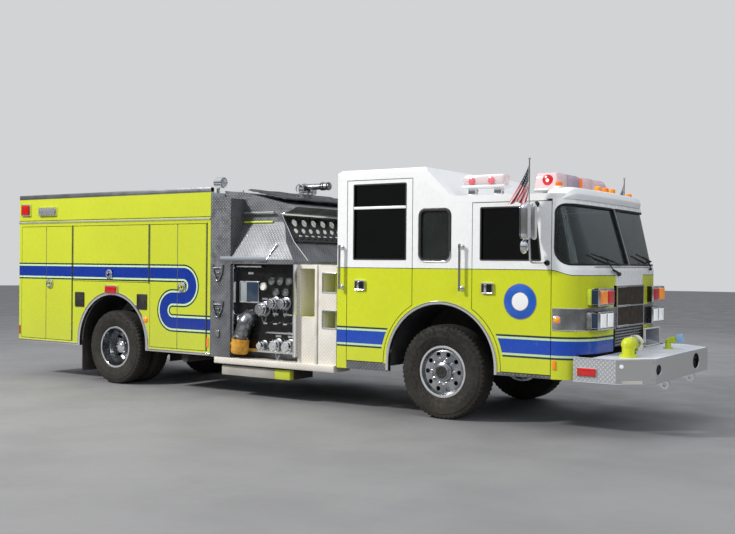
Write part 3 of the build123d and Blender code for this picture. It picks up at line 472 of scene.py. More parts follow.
class Wires:
    """Places and joins the nodes of one tree with short calls."""

    def __init__(self, tree: bpy.types.NodeTree) -> None:
        """Start on a tree."""
        self.tree = tree

    def put(self, kind: str, values: dict | None = None, **settings: object) -> bpy.types.Node:
        """Add a node; a value that is a socket is linked, and any other is set.

        Args:
            kind: The node's type.
            values: Input names or numbers, with what goes in.
            settings: The node's own properties.

        Returns:
            The node.
        """
        node = self.tree.nodes.new(kind)
        for name, value in settings.items():
            setattr(node, name, value)
        for key, value in (values or {}).items():
            if isinstance(value, bpy.types.NodeSocket):
                self.tree.links.new(value, node.inputs[key])
            else:
                node.inputs[key].default_value = value
        return node

    def math(self, operation: str, a: object, b: object = 0.0, c: object = 0.0) -> Socket:
        """Add a sum, product or other operation and give its result."""
        return self.put("ShaderNodeMath", {0: a, 1: b, 2: c}, operation=operation).outputs[0]

    def rise(self, value: object, low: float, high: float, start: float = 0.0,
             end: float = 1.0) -> Socket:
        """Ease from start to end while the value goes from low to high."""
        return self.put("ShaderNodeMapRange", {"Value": value, "From Min": low, "From Max": high,
                                               "To Min": start, "To Max": end},
                        interpolation_type="SMOOTHSTEP").outputs["Result"]

    def mix(self, share: object, a: object, b: object) -> Socket:
        """Mix two colours by a share."""
        return self.put("ShaderNodeMix", {0: share, 6: a, 7: b}, data_type="RGBA").outputs[2]

    def place(self) -> Socket:
        """Give the point in the vehicle's frame."""
        return self.put("ShaderNodeTexCoord").outputs["Object"]

    def facing(self) -> Socket:
        """Give the surface's direction in the vehicle's frame."""
        return self.put("ShaderNodeTexCoord").outputs["Normal"]

    def uv(self) -> tuple:
        """Give the point's two parts in the piece's own UV map."""
        return self.split(self.put("ShaderNodeTexCoord").outputs["UV"])[:2]

    def split(self, vector: object) -> tuple:
        """Give a vector's three parts."""
        return tuple(self.put("ShaderNodeSeparateXYZ", {0: vector}).outputs)

    def noise(self, scale: float, detail: float = 3.0, stretch: tuple = (1, 1, 1)) -> Socket:
        """Give noise over the vehicle's frame, stretched where an axis is scaled down."""
        vector = self.put("ShaderNodeMapping", {"Vector": self.place(), "Scale": stretch}).outputs[0]
        return self.put("ShaderNodeTexNoise", {"Vector": vector, "Scale": scale,
                                               "Detail": detail}).outputs["Fac"]

    def group(self, tree: bpy.types.NodeTree, values: dict | None = None) -> Socket:
        """Place a shared effect and give its result."""
        return self.put("ShaderNodeGroup", values, node_tree=tree).outputs[0]

    def plus(self, a: object, b: object) -> Socket:
        """Add two values."""
        return self.math("ADD", a, b)

    def minus(self, a: object, b: object) -> Socket:
        """Take the second value from the first."""
        return self.math("SUBTRACT", a, b)

    def times(self, a: object, b: object) -> Socket:
        """Multiply two values."""
        return self.math("MULTIPLY", a, b)

    def less(self, a: object, b: object) -> Socket:
        """Give one where the first value is the smaller one, and nought elsewhere."""
        return self.math("LESS_THAN", a, b)

    def more(self, a: object, b: object) -> Socket:
        """Give one where the first value is the larger one, and nought elsewhere."""
        return self.math("GREATER_THAN", a, b)

    def size(self, a: object) -> Socket:
        """Give a value without its sign."""
        return self.math("ABSOLUTE", a)

    def squares(self, a: object, b: object) -> Socket:
        """Give the sum of two values' squares."""
        return self.plus(*(self.math("POWER", self.size(value), 2.0) for value in (a, b)))


def effect(name: str, inputs: dict, output: str) -> Callable:
    """Make a function that draws an effect into one that gives its node group, built the first time.

    Args:
        name: The group's name.
        inputs: Socket names with a colour or a number as default.
        output: The result's name: Color is a colour, and any other name is a number.

    Returns:
        What wraps the drawing function, which takes the group's wires and its inputs.
    """

    def wrap(draw: Callable) -> Callable:
        """Wrap the drawing function."""

        @functools.cache
        def build() -> bpy.types.NodeTree:
            """Build the group."""
            tree = bpy.data.node_groups.new(name, "ShaderNodeTree")
            for key, value in inputs.items():
                kind = "NodeSocketColor" if isinstance(value, tuple) else "NodeSocketFloat"
                tree.interface.new_socket(name=key, in_out="INPUT", socket_type=kind).default_value = value
            kind = "NodeSocketColor" if output == "Color" else "NodeSocketFloat"
            tree.interface.new_socket(name=output, in_out="OUTPUT", socket_type=kind)
            w = Wires(tree)
            given = w.put("NodeGroupInput").outputs
            w.put("NodeGroupOutput", {output: draw(w, given)})
            return tree

        return build

    return wrap


@effect("road dust", {"Amount": 0.6}, "Mask")
def dust(w: Wires, given: Sockets) -> Socket:
    """Road dust: thick near the ground, thinner with height by a power, broken up by noise."""
    share = w.minus(1.0, w.math("DIVIDE", w.split(w.place())[2], DUST_TOP))
    low = w.math("POWER", w.math("MAXIMUM", share, 0.0), 1.6)
    cloud = w.rise(w.noise(3.2, 6.0), 0.3, 0.75, 0.35, 1.0)
    return w.math("MINIMUM", w.times(w.times(low, cloud), given["Amount"]), 1.0)


@effect("wear", {"Amount": 0.5}, "Mask")
def wear(w: Wires, given: Sockets) -> Socket:
    """Small scuffs and streaks: the peaks of a fine noise, kept where a coarse noise is high."""
    fine = w.rise(w.noise(90.0, 4.0, (1, 1, 0.15)), 0.58, 0.7)
    coarse = w.rise(w.noise(5.0, 2.0), 0.5, 0.75)
    return w.times(w.times(fine, coarse), given["Amount"])


@effect("tread plate", {}, "Height")
def tread_plate(w: Wires, _: Sockets) -> Socket:
    """Diamond plate: each square cell holds one oval lug, turned a quarter from its neighbours'.

    The pattern lies in the plane that the surface faces, at 45 degrees. A lug's height is one less the
    sum of its squared distances along and across, each over the lug's own half length and half width.
    """
    x, y, z = w.split(w.place())
    nx, _, nz = w.split(w.facing())
    ends = w.more(w.size(nx), SQUARE_TO_SURFACE)
    level = w.more(w.size(nz), SQUARE_TO_SURFACE)
    p = w.plus(w.times(x, w.minus(1.0, ends)), w.times(y, ends))
    q = w.plus(w.times(z, w.minus(1.0, level)), w.times(y, level))
    cells = [w.math("DIVIDE", slanted, PLATE_PITCH * 1.414) for slanted in (w.plus(p, q), w.minus(p, q))]
    odd = w.size(w.math("MODULO", w.plus(*(w.math("FLOOR", cell) for cell in cells)), 2.0))
    a, b = (w.minus(w.math("FRACT", cell), 0.5) for cell in cells)
    even = w.minus(1.0, odd)
    along = w.plus(w.times(a, even), w.times(b, odd))
    side = w.plus(w.times(b, even), w.times(a, odd))
    squares = w.squares(w.math("DIVIDE", along, 0.46), w.math("DIVIDE", side, 0.16))
    return w.math("MAXIMUM", w.minus(1.0, squares), 0.0)


@effect("livery", {"Ground": (0, 0, 0, 1), "Upper": (1, 1, 1, 1), "Band": (0, 0, 1, 1),
                   "Light": (1, 1, 1, 1), "Dark": (0, 0, 0, 1)}, "Color")
def livery(w: Wires, given: Sockets) -> Socket:
    """The paint scheme, drawn over the side view.

    The belt is one level that eases down under the windscreen. The cab's stripe is the distance from one
    level. The body's stripe is the least distance from three level runs and two half circles that join
    them. The distance gives a broad band, a light line and a dark line.
    """
    x, y, z = w.split(w.place())
    x = w.minus(x, FRONT_AXLE)
    high, middle, low = 1.6025, 1.265, 0.925
    front, rear = -4.01, -4.2085

    def run(level: float, start: float, end: float) -> Socket:
        """Give the distance from a level run between two places."""
        outside = w.plus(w.less(x, start), w.more(x, end))
        return w.plus(w.size(w.minus(z, level)), w.times(outside, FAR_AWAY))

    def reach(cx: float, cz: float) -> Socket:
        """Give the distance from a point."""
        return w.math("SQRT", w.squares(w.minus(x, cx), w.minus(z, cz)))

    front_bend = w.plus(w.size(w.minus(reach(front, 1.434), 0.169)), w.times(w.less(x, front), FAR_AWAY))
    rear_bend = w.plus(w.size(w.minus(reach(rear, 1.095), 0.17)), w.times(w.more(x, rear), FAR_AWAY))
    beside_arch = w.times(w.less(reach(0.0, ARCH_HEIGHT), 0.8), FAR_AWAY)
    least = functools.reduce(lambda a, b: w.math("MINIMUM", a, b), (
        run(high, -8.0, front), front_bend, run(middle, rear, front), rear_bend, run(low, rear, -3.4),
        w.plus(run(0.885, -2.5, 3.0), beside_arch)))
    belt = w.plus(w.rise(x, 1.33, 1.58, BELT, BELT_LOW), w.times(w.less(x, -2.5), FAR_AWAY))
    centre = w.times(w.less(w.size(y), 0.445), w.more(x, 1.5))
    above = w.minus(z, w.minus(belt, w.times(centre, 0.12)))
    colour = w.mix(w.more(above, 0.0), given["Ground"], given["Upper"])
    colour = w.mix(w.less(w.size(above), 0.004), colour, given["Dark"])
    for name, width in (("Dark", 0.122), ("Light", 0.101), ("Band", 0.0765)):
        colour = w.mix(w.less(least, width), colour, given[name])
    return colour


@effect("inside", {"Shell": 1.0}, "Mask")
def inside(w: Wires, given: Sockets) -> Socket:
    """Tell the inner faces: of a cab wall, those towards the cab's middle; of a body, all within the skin."""
    point, way, shell = w.place(), w.facing(), given["Shell"]
    from_middle = w.put("ShaderNodeVectorMath", {0: point, 1: (at(0.15), 0, 1.75)}, operation="SUBTRACT")
    dot = w.put("ShaderNodeVectorMath", {0: from_middle.outputs[0], 1: way}, operation="DOT_PRODUCT")
    inward = w.less(dot.outputs["Value"], 0.0)
    within = w.less(w.size(w.split(point)[1]), HALF_WIDTH - 0.003)
    return w.plus(w.times(shell, inward), w.times(w.minus(1.0, shell), within))


@effect("weave", {"Threads": 200.0}, "Height")
def weave(w: Wires, given: Sockets) -> Socket:
    """Woven threads over a piece's own UV map: the product of two sine waves a quarter apart."""
    u, v = w.uv()
    waves = [w.math("SINE", w.times(c, given["Threads"])) for c in (u, v)]
    return w.math("MULTIPLY_ADD", w.times(*waves), 0.5, 0.5)


@dataclass(frozen=True)
class Finish:
    """A surface finish: how one material of this vehicle looks.

    Attributes:
        name: The material's name.
        slot: The record's material slot that it belongs to; not used.
        colour: Its main colour.
        second: The colour that noise mixes in.
        rough: Roughness where it is clean.
        metal: How much it is metal.
        coat: Weight of a clear coat.
        speckle: Scale of the colour's noise, per metre.
        grain: Scale of the surface's fine bumps, per metre.
        bump: Depth of the fine bumps, in metres.
        dusty: How much road dust lies on it.
        scuffs: How much it is scuffed.
        glow: Strength of light from within.
        see_through: Transmission of light, for glass and lenses.
    """

    name: str
    slot: str
    colour: tuple
    second: tuple | None = None
    rough: float = 0.4
    metal: float = 0.0
    coat: float = 0.0
    speckle: float = 4.0
    grain: float = 300.0
    bump: float = 0.0004
    dusty: float = 0.3
    scuffs: float = 0.3
    glow: float = 0.0
    see_through: float = 0.0

    def material(self) -> bpy.types.Material:
        """Give the Blender material, made the first time that it is asked for."""
        found = bpy.data.materials.get(self.name)
        if found:
            return found
        made = bpy.data.materials.new(self.name)
        made.use_nodes = True
        made.node_tree.nodes.clear()
        w = Wires(made.node_tree)
        shader = w.put("ShaderNodeBsdfPrincipled")
        w.tree.links.new(shader.outputs[0], w.put("ShaderNodeOutputMaterial").inputs["Surface"])
        shader.inputs["Metallic"].default_value = self.metal
        shader.inputs["Coat Weight"].default_value = self.coat
        shader.inputs["Coat Roughness"].default_value = 0.05
        shader.inputs["Transmission Weight"].default_value = self.see_through
        self.wire(w, shader)
        return made

    def base(self, w: Wires) -> Socket:
        """Give the clean colour: the main one with the second mixed in by noise."""
        other = self.second or tuple(0.8 * c for c in self.colour[:3]) + (1.0,)
        return w.mix(w.rise(w.noise(self.speckle), 0.35, 0.7), self.colour, other)

    def height(self, w: Wires) -> Socket:
        """Give the surface's fine height."""
        return w.noise(self.grain, 2.0)

    def wire(self, w: Wires, shader: bpy.types.Node) -> None:
        """Wire the colour, roughness and bump of the material."""
        colour = self.base(w)
        scuff = w.group(wear(), {"Amount": self.scuffs})
        colour = w.mix(scuff, colour, tuple(min(1.0, 1.3 * c + 0.05) for c in self.colour[:3]) + (1.0,))
        dirt = w.group(dust(), {"Amount": self.dusty})
        colour = w.mix(dirt, colour, DUST)
        w.tree.links.new(colour, shader.inputs["Base Color"])
        rough = w.rise(w.noise(self.speckle * 3), 0.3, 0.7, self.rough * 0.8, min(1.0, self.rough * 1.25))
        rough = w.plus(rough, w.times(dirt, 0.4))
        w.tree.links.new(w.math("MINIMUM", rough, 1.0), shader.inputs["Roughness"])
        bump = w.put("ShaderNodeBump", {"Height": self.height(w), "Distance": self.bump, "Strength": 0.6})
        w.tree.links.new(bump.outputs[0], shader.inputs["Normal"])
        if self.glow:
            shader.inputs["Emission Strength"].default_value = self.glow
            w.tree.links.new(self.base(w), shader.inputs["Emission Color"])


@dataclass(frozen=True)
class LiveryPaint(Finish):
    """Two-tone paint with its stripes; inner faces take another colour."""

    shell: bool = True
    inner: tuple = (0.2, 0.2, 0.2, 1.0)
    band: tuple = (0.0, 0.0, 1.0, 1.0)

    def base(self, w: Wires) -> Socket:
        """Give the paint scheme's colour, slightly uneven, with the inner faces apart."""
        scheme = w.group(livery(), {"Ground": self.colour, "Upper": WHITE, "Band": self.band, "Light": PALE,
                                    "Dark": NAVY})
        shade = w.rise(w.noise(1.3), 0.2, 0.8, 0.96, 1.03)
        uneven = w.put("ShaderNodeHueSaturation", {"Color": scheme, "Value": shade})
        mask = w.group(inside(), {"Shell": float(self.shell)})
        return w.mix(mask, uneven.outputs[0], self.inner)


@dataclass(frozen=True)
class TreadPlate(Finish):
    """Bright diamond plate: raised lugs are brighter than the ground between them."""

    def base(self, w: Wires) -> Socket:
        """Give brighter lugs on a greyer ground."""
        lug = w.rise(w.group(tread_plate()), 0.0, 0.4)
        return w.mix(lug, w.mix(w.noise(2.5), self.second, self.colour), self.colour)

    def height(self, w: Wires) -> Socket:
        """Give the lugs' height as the bump."""
        return w.group(tread_plate())


@dataclass(frozen=True)
class BumperPlate(TreadPlate):
    """The bumper: diamond plate on its wings, and a plain polished face ahead of them."""

    wing_end: float = 2.06
    deck: float = 0.806

    def height(self, w: Wires) -> Socket:
        """Give the lugs' height on the wings and on what faces up."""
        up = w.more(w.split(w.facing())[2], SQUARE_TO_SURFACE)
        wing = w.less(w.split(w.place())[0], at(self.wing_end))
        return w.times(w.group(tread_plate()), w.math("MAXIMUM", up, wing))

    def base(self, w: Wires) -> Socket:
        """Give the plain face's colour, and grey ground between bright lugs on the wings."""
        x, _, z = w.split(w.place())
        patterned = w.math("MAXIMUM", w.more(z, self.deck), w.less(x, at(self.wing_end)))
        ground = w.mix(patterned, self.second, tone(190, 192, 196))
        return w.mix(w.rise(self.height(w), 0.0, 0.4), ground, self.colour)


@dataclass(frozen=True)
class Brushed(Finish):
    """Brushed metal: long level streaks in its height and colour."""

    def height(self, w: Wires) -> Socket:
        """Give streaks that are long along the vehicle and fine up it."""
        return w.noise(self.grain, 3.0, (0.02, 0.02, 1.0))


@dataclass(frozen=True)
class Cloth(Finish):
    """Woven cloth over the piece's UV map."""

    threads: float = 220.0

    def height(self, w: Wires) -> Socket:
        """Give the threads' height."""
        return w.group(weave(), {"Threads": self.threads})


@dataclass(frozen=True)
class FlagCloth(Cloth):
    """Printed cloth: level stripes, and a dark field with pale dots in its upper corner by the pole."""

    stripes: float = 13.0
    dots: tuple = (15.0, 9.3)

    def base(self, w: Wires) -> Socket:
        """Give the print's colour over the UV map: u along the fly and v up."""
        u, v = w.uv()
        odd = w.math("MODULO", w.math("FLOOR", w.times(v, self.stripes)), 2.0)
        colour = w.mix(odd, self.colour, self.second)
        field = w.times(w.less(u, 0.4), w.more(v, 6 / self.stripes))
        a, b = (w.minus(w.math("FRACT", w.times(c, n)), 0.5) for c, n in zip((u, v), self.dots))
        dot = w.less(w.squares(a, b), 0.06)
        return w.mix(field, colour, w.mix(dot, NAVY, WHITE))


@dataclass(frozen=True)
class Screen(Finish):
    """Grille mesh: holes in rows, each where two waves meet, painted dark as the shade seen through them."""

    holes: float = 520.0

    def base(self, w: Wires) -> Socket:
        """Give the wire's colour, with painted shade in the holes."""
        _, y, z = w.split(w.place())
        waves = [w.math("SINE", w.times(c, self.holes)) for c in (y, z)]
        return w.mix(w.rise(w.times(*waves), -0.1, 0.3), self.colour, self.second)


@dataclass(frozen=True)
class Fitting(Finish):
    """Plated castings; the elbow on the bumper is painted lime."""

    def ahead(self, w: Wires) -> Socket:
        """Tell what stands ahead of the cab's face."""
        return w.more(w.split(w.place())[0], at(1.5))

    def base(self, w: Wires) -> Socket:
        """Give the casting's colour, and lime ahead."""
        return w.mix(self.ahead(w), super().base(w), LIME)

    def wire(self, w: Wires, shader: bpy.types.Node) -> None:
        """Wire it as any finish, and make what is painted no metal."""
        super().wire(w, shader)
        w.tree.links.new(w.minus(1.0, self.ahead(w)), shader.inputs["Metallic"])


WHITE = tone(238, 240, 241)
LIME = tone(204, 214, 36)
PALE = tone(196, 222, 170)
NAVY = tone(16, 44, 60)
DUST = tone(120, 112, 98)
CLEAN = {"dusty": 0.0, "scuffs": 0.0}

CAB_PAINT = LiveryPaint("cab paint", "lime_paint", LIME, rough=0.26, coat=0.45, grain=220.0, bump=0.0001,
                        dusty=0.35, scuffs=0.06, inner=tone(70, 72, 74), band=tone(0, 66, 176))
BODY_PAINT = LiveryPaint("body paint", "lime_paint", tone(190, 200, 50), rough=0.26, coat=0.4, grain=220.0,
                         bump=0.0001, dusty=0.35, scuffs=0.06, shell=False, inner=tone(176, 180, 184),
                         band=tone(0, 44, 142))
ROOF_WHITE = Finish("roof white", "white_paint", WHITE, tone(236, 237, 237), rough=0.35, coat=0.3,
                    bump=0.00005, dusty=0.05, scuffs=0.0)
PLAIN_LIME = Finish("plain lime", "lime_paint", LIME, tone(186, 206, 40), rough=0.3, coat=0.6, bump=0.0002)
PANEL_WHITE = Finish("panel white", "white_paint", tone(226, 223, 216), tone(206, 202, 192),
                     rough=0.45, dusty=0.3)
# Bright aluminium plate, darkened well below bare aluminium to the grey that the hood shows under the light:
# painted shade.
PLATE = TreadPlate("diamond plate", "bright_plate", tone(150, 153, 158), tone(38, 40, 44), rough=0.45,
                   metal=0.75, bump=0.0015, dusty=0.1, scuffs=0.0)
# The same aluminium plate, painted near white with little metal as the walkway looks in full sun: painted
# light.
SUNLIT_PLATE = TreadPlate("pale diamond plate", "bright_plate", tone(246, 242, 234), tone(206, 200, 188),
                         rough=0.45, metal=0.2, bump=0.0015, dusty=0.2, scuffs=0.05)
BUMPER = BumperPlate("bumper plate", "chrome", tone(246, 247, 249), tone(196, 195, 193), rough=0.16,
                     metal=0.45, bump=0.0015, dusty=0.1, scuffs=0.0)
CHROME = Finish("chrome", "chrome", tone(236, 238, 240), tone(206, 210, 214), rough=0.08, metal=1.0,
                bump=0.00005, dusty=0.08, scuffs=0.0)
STAINLESS = Brushed("brushed stainless", "chrome", tone(205, 206, 208), tone(160, 160, 160), rough=0.28,
                    metal=1.0, grain=400.0, bump=0.0002, dusty=0.1, scuffs=0.0)
WHEEL = Finish("polished aluminium", "polished_wheel", tone(196, 198, 202), tone(140, 144, 150), rough=0.24,
               metal=1.0, bump=0.0001, dusty=0.15, scuffs=0.1)
SATIN = Finish("satin aluminium", "bright_plate", tone(190, 193, 196), tone(172, 174, 176), rough=0.4,
               metal=0.9, bump=0.0001, dusty=0.1, scuffs=0.05)
RUBBER = Finish("tyre rubber", "tyre_rubber", tone(21, 20, 19), tone(31, 30, 28), rough=0.85, grain=160.0,
                bump=0.0006, dusty=0.22, speckle=9.0, scuffs=0.05)
SEAL = Finish("black rubber seal", "black_panel", tone(18, 18, 19), tone(30, 30, 31), rough=0.5)
FRAME_PAINT = Finish("frame black", "frame_black", tone(24, 24, 26), tone(44, 41, 38), rough=0.5,
                     dusty=0.35, scuffs=0.1)
CAST = Finish("cast black", "cast_black", tone(30, 31, 33), tone(58, 52, 46), rough=0.6, grain=90.0,
              bump=0.001, dusty=0.4, scuffs=0.1, speckle=14.0)
BLACK = Finish("black panel", "black_panel", tone(7, 7, 9), tone(12, 12, 14), rough=0.28,
               dusty=0.02, scuffs=0.03)
PLASTIC = Finish("dash plastic", "dash_plastic", tone(40, 41, 43), tone(52, 52, 54), rough=0.65, grain=700.0)
SEAT = Cloth("seat cloth", "seat_fabric", tone(44, 45, 48), tone(60, 61, 64), rough=0.9,
             bump=0.001, threads=420.0)
NICKEL = Finish("plated fitting", "brass_fittings", tone(178, 180, 184), tone(120, 122, 126), rough=0.3,
                metal=1.0, speckle=18.0, grain=120.0, bump=0.0006, dusty=0.5)
GOLD = Finish("gold cap", "brass_fittings", tone(236, 180, 74), tone(206, 142, 44), rough=0.42, metal=0.3,
              speckle=16.0, dusty=0.2)
GREY_DIAL = Finish("grey dial", "black_panel", tone(120, 122, 124), tone(62, 64, 66), rough=0.15, coat=0.8,
                   speckle=30.0, dusty=0.1)
OLD_WHITE = Finish("dull white", "white_paint", tone(176, 173, 167), tone(160, 156, 149),
                   rough=0.55, dusty=0.4)
GLASS = Finish("tinted glass", "window_glass", tone(20, 27, 27), tone(17, 23, 23), rough=0.02, coat=0.1,
               bump=0.00002, grain=4.0, **CLEAN, see_through=0.8)
SCREEN_GLASS = Finish("windscreen glass", "window_glass", tone(150, 164, 162), tone(138, 152, 150),
                      rough=0.02, coat=0.3, bump=0.00002, grain=4.0, **CLEAN, see_through=0.95)
CLEAR = Finish("clear lens", "lamp_lens", tone(236, 240, 244), tone(222, 228, 234), rough=0.05, coat=1.0,
               see_through=0.75, **CLEAN)
HEADLAMP = Finish("headlamp lens", "lamp_lens", tone(240, 242, 244), tone(222, 226, 230), rough=0.1,
                  coat=1.0, glow=0.35, **CLEAN)
PINK = Finish("pale red lens", "lamp_lens", tone(254, 230, 233), tone(250, 206, 214), rough=0.12, coat=0.6,
              see_through=0.3, **CLEAN)
MILKY = Finish("milky lens", "lamp_lens", tone(253, 244, 244), tone(251, 230, 233), rough=0.12, coat=0.6,
               see_through=0.3, **CLEAN)
LAVENDER = Finish("lavender lens", "lamp_lens", tone(214, 200, 216), tone(196, 178, 200), rough=0.12,
                  coat=0.6, see_through=0.4, **CLEAN)
RED = Finish("red lens", "lamp_lens", tone(196, 14, 18), tone(150, 6, 10), rough=0.12, coat=1.0, glow=0.15,
             grain=260.0, bump=0.0008, scuffs=0.0, dusty=0.2)
AMBER = Finish("amber lens", "lamp_lens", tone(250, 150, 14), tone(236, 110, 6), rough=0.12, coat=1.0,
               glow=0.25, grain=260.0, bump=0.0008, scuffs=0.0, dusty=0.2)
RED_PALE = Finish("washed red lens", "lamp_lens", tone(246, 128, 138), tone(240, 104, 116), rough=0.15,
                  coat=0.8, **CLEAN)
DECK = Finish("bumper deck", "chrome", tone(232, 236, 244), tone(214, 218, 226), rough=0.4, metal=0.15,
              bump=0.0001, dusty=0.1, scuffs=0.05)
# The second colour is painted shade: the dark seen through the mesh's holes.
MESH = Screen("grille mesh", "black_panel", tone(72, 58, 44), tone(20, 16, 13), rough=0.5,
              metal=0.3, dusty=0.1)
PALE_BLUE = Finish("pale blue cap", "brass_fittings", tone(150, 190, 226), tone(134, 176, 214), rough=0.4)
MIRROR = Finish("mirror glass", "chrome", tone(220, 226, 232), tone(212, 218, 224), rough=0.02, metal=1.0,
                bump=0.00001, **CLEAN)
VINYL = Cloth("cover vinyl", "frame_black", tone(36, 38, 40), tone(54, 56, 58), rough=0.55,
              bump=0.0008, threads=600.0)
GREY_PAINT = Finish("grey paint", "black_panel", tone(150, 156, 160), tone(136, 142, 146), rough=0.5)
NAVY_GLASS = Finish("dark blue window", "black_panel", tone(40, 58, 78), tone(30, 44, 62),
                    rough=0.08, coat=0.6)
DIAL = Finish("dial face", "white_paint", tone(238, 238, 232), tone(216, 216, 210), rough=0.25,
              coat=0.8, dusty=0.1)
FITTING = Fitting("pump fitting", "brass_fittings", tone(150, 152, 158), tone(96, 98, 104), rough=0.35,
                  metal=1.0, speckle=18.0, grain=120.0, bump=0.0006, dusty=0.5)
BADGE_BLUE = Finish("badge blue", "lime_paint", tone(20, 92, 190), tone(16, 80, 176), rough=0.3,
                    coat=0.5, bump=0.0001)
FLAG = FlagCloth("flag cloth", "white_paint", tone(196, 30, 48), WHITE, rough=0.8, bump=0.0004)
FLOOR = Finish("pale floor", "", tone(132, 132, 134), tone(124, 124, 126), rough=0.75, speckle=0.7,
               grain=60.0, bump=0.0003, **CLEAN)


def pair(name: str, shape: Shape, finish: Finish, body: str, replaces: tuple = (), **shading: float) -> None:
    """Make a right-hand piece and its mirror image; {side} in a name becomes right or left."""
    for side in Side:
        make(f"{name}_{side.word}", shape.to_side(side), finish, body.format(side=side.word),
             tuple(node.format(side=side.word) for node in replaces), **shading)


def thicken(piece: bpy.types.Object, thickness: float) -> None:
    """Give a sheet its thickness, half of it on each side."""
    thick = piece.modifiers.new("cloth thickness", "SOLIDIFY")
    thick.thickness, thick.offset = thickness, 0.0


@dataclass
class Studio:
    """The camera, the floor, the sky and the soft lights round the vehicle."""

    place: tuple = (8.2095, -11.042, 1.769)
    yaw: float = 34.08
    pitch: float = -0.24
    roll: float = 0.51
    lens: float = 48.887
    sensor: float = 36.0
    lights: tuple = (
        ("sun_side", (-7.0, -12.0, 11.0), 1.8, 2550.0, (1.0, 0.97, 0.92)),
        ("front_fill", (13.0, -7.0, 6.0), 6.0, 420.0, (0.95, 0.97, 1.0)),
        ("far_fill", (2.0, 13.0, 8.0), 7.0, 260.0, (1.0, 1.0, 1.0)),
        ("overhead", (0.0, 0.0, 12.0), 9.0, 380.0, (1.0, 1.0, 1.0)),
    )

    def build(self) -> None:
        """Make all of it."""
        bpy.context.scene.view_settings.view_transform = "Standard"
        self.camera()
        self.floor()
        self.sky()
        for name, place, size, power, colour in self.lights:
            self.light(name, place, size, power, colour)

    def camera(self) -> None:
        """Place the camera: it looks along its yaw and pitch and leans by its roll."""
        yaw, pitch, roll = np.radians([self.yaw, self.pitch, self.roll])
        ahead = np.array([-np.sin(yaw) * np.cos(pitch), np.cos(yaw) * np.cos(pitch), np.sin(pitch)])
        level = unit(np.cross(ahead, (0, 0, 1))[None])[0]
        upright = np.cross(level, ahead)
        right = level * np.cos(roll) + upright * np.sin(roll)
        up = upright * np.cos(roll) - level * np.sin(roll)
        data = bpy.data.cameras.new("photo_camera")
        data.lens, data.sensor_width, data.sensor_fit = self.lens, self.sensor, "HORIZONTAL"
        data.clip_end = 200.0
        camera = bpy.data.objects.new("photo_camera", data)
        matrix = np.eye(4)
        matrix[:3] = np.column_stack([right, up, -ahead, self.place])
        camera.matrix_world = Matrix(matrix.tolist())
        bpy.context.scene.collection.objects.link(camera)
        bpy.context.scene.camera = camera

    def floor(self) -> None:
        """Lay a wide pale floor, just under the tyres."""
        mesh = slab(circle(60.0, 96), top_plane(0), -0.06, -0.001).mesh("studio_floor")
        mesh.materials.append(FLOOR.material())
        floor = bpy.data.objects.new("studio_floor", mesh)
        bpy.context.scene.collection.objects.link(floor)

    def sky(self) -> None:
        """Light from all round: bright overhead and dimmer towards the floor."""
        world = bpy.data.worlds.new("studio_sky")
        world.use_nodes = True
        world.node_tree.nodes.clear()
        w = Wires(world.node_tree)
        way = w.split(w.put("ShaderNodeTexCoord").outputs["Generated"])[2]
        low = w.mix(w.rise(way, 0.06, 0.40), tone(120, 118, 116), tone(200, 210, 222))
        colour = w.mix(w.rise(way, 0.35, 0.9), low, tone(255, 255, 255))
        seen = w.put("ShaderNodeLightPath").outputs["Is Camera Ray"]
        back = w.put("ShaderNodeBackground", {"Color": w.mix(seen, colour, tone(232, 233, 235)),
                                              "Strength": 0.8})
        w.tree.links.new(back.outputs[0], w.put("ShaderNodeOutputWorld").inputs["Surface"])
        bpy.context.scene.world = world

    def light(self, name: str, place: tuple, size: float, power: float, colour: tuple) -> None:
        """Hang one square light that faces the vehicle."""
        data = bpy.data.lights.new(name, "AREA")
        data.shape, data.size, data.energy, data.color = "SQUARE", size, power, colour
        back = unit((np.array(place) - np.array([0, 0, 1.2]))[None])[0]
        right = unit(np.cross((0, 1e-6, 1), back)[None])[0]
        matrix = np.eye(4)
        matrix[:3] = np.column_stack([right, np.cross(back, right), back, place])
        lamp = bpy.data.objects.new(name, data)
        lamp.matrix_world = Matrix(matrix.tolist())
        lamp.visible_glossy = name == "sun_side"
        bpy.context.scene.collection.objects.link(lamp)


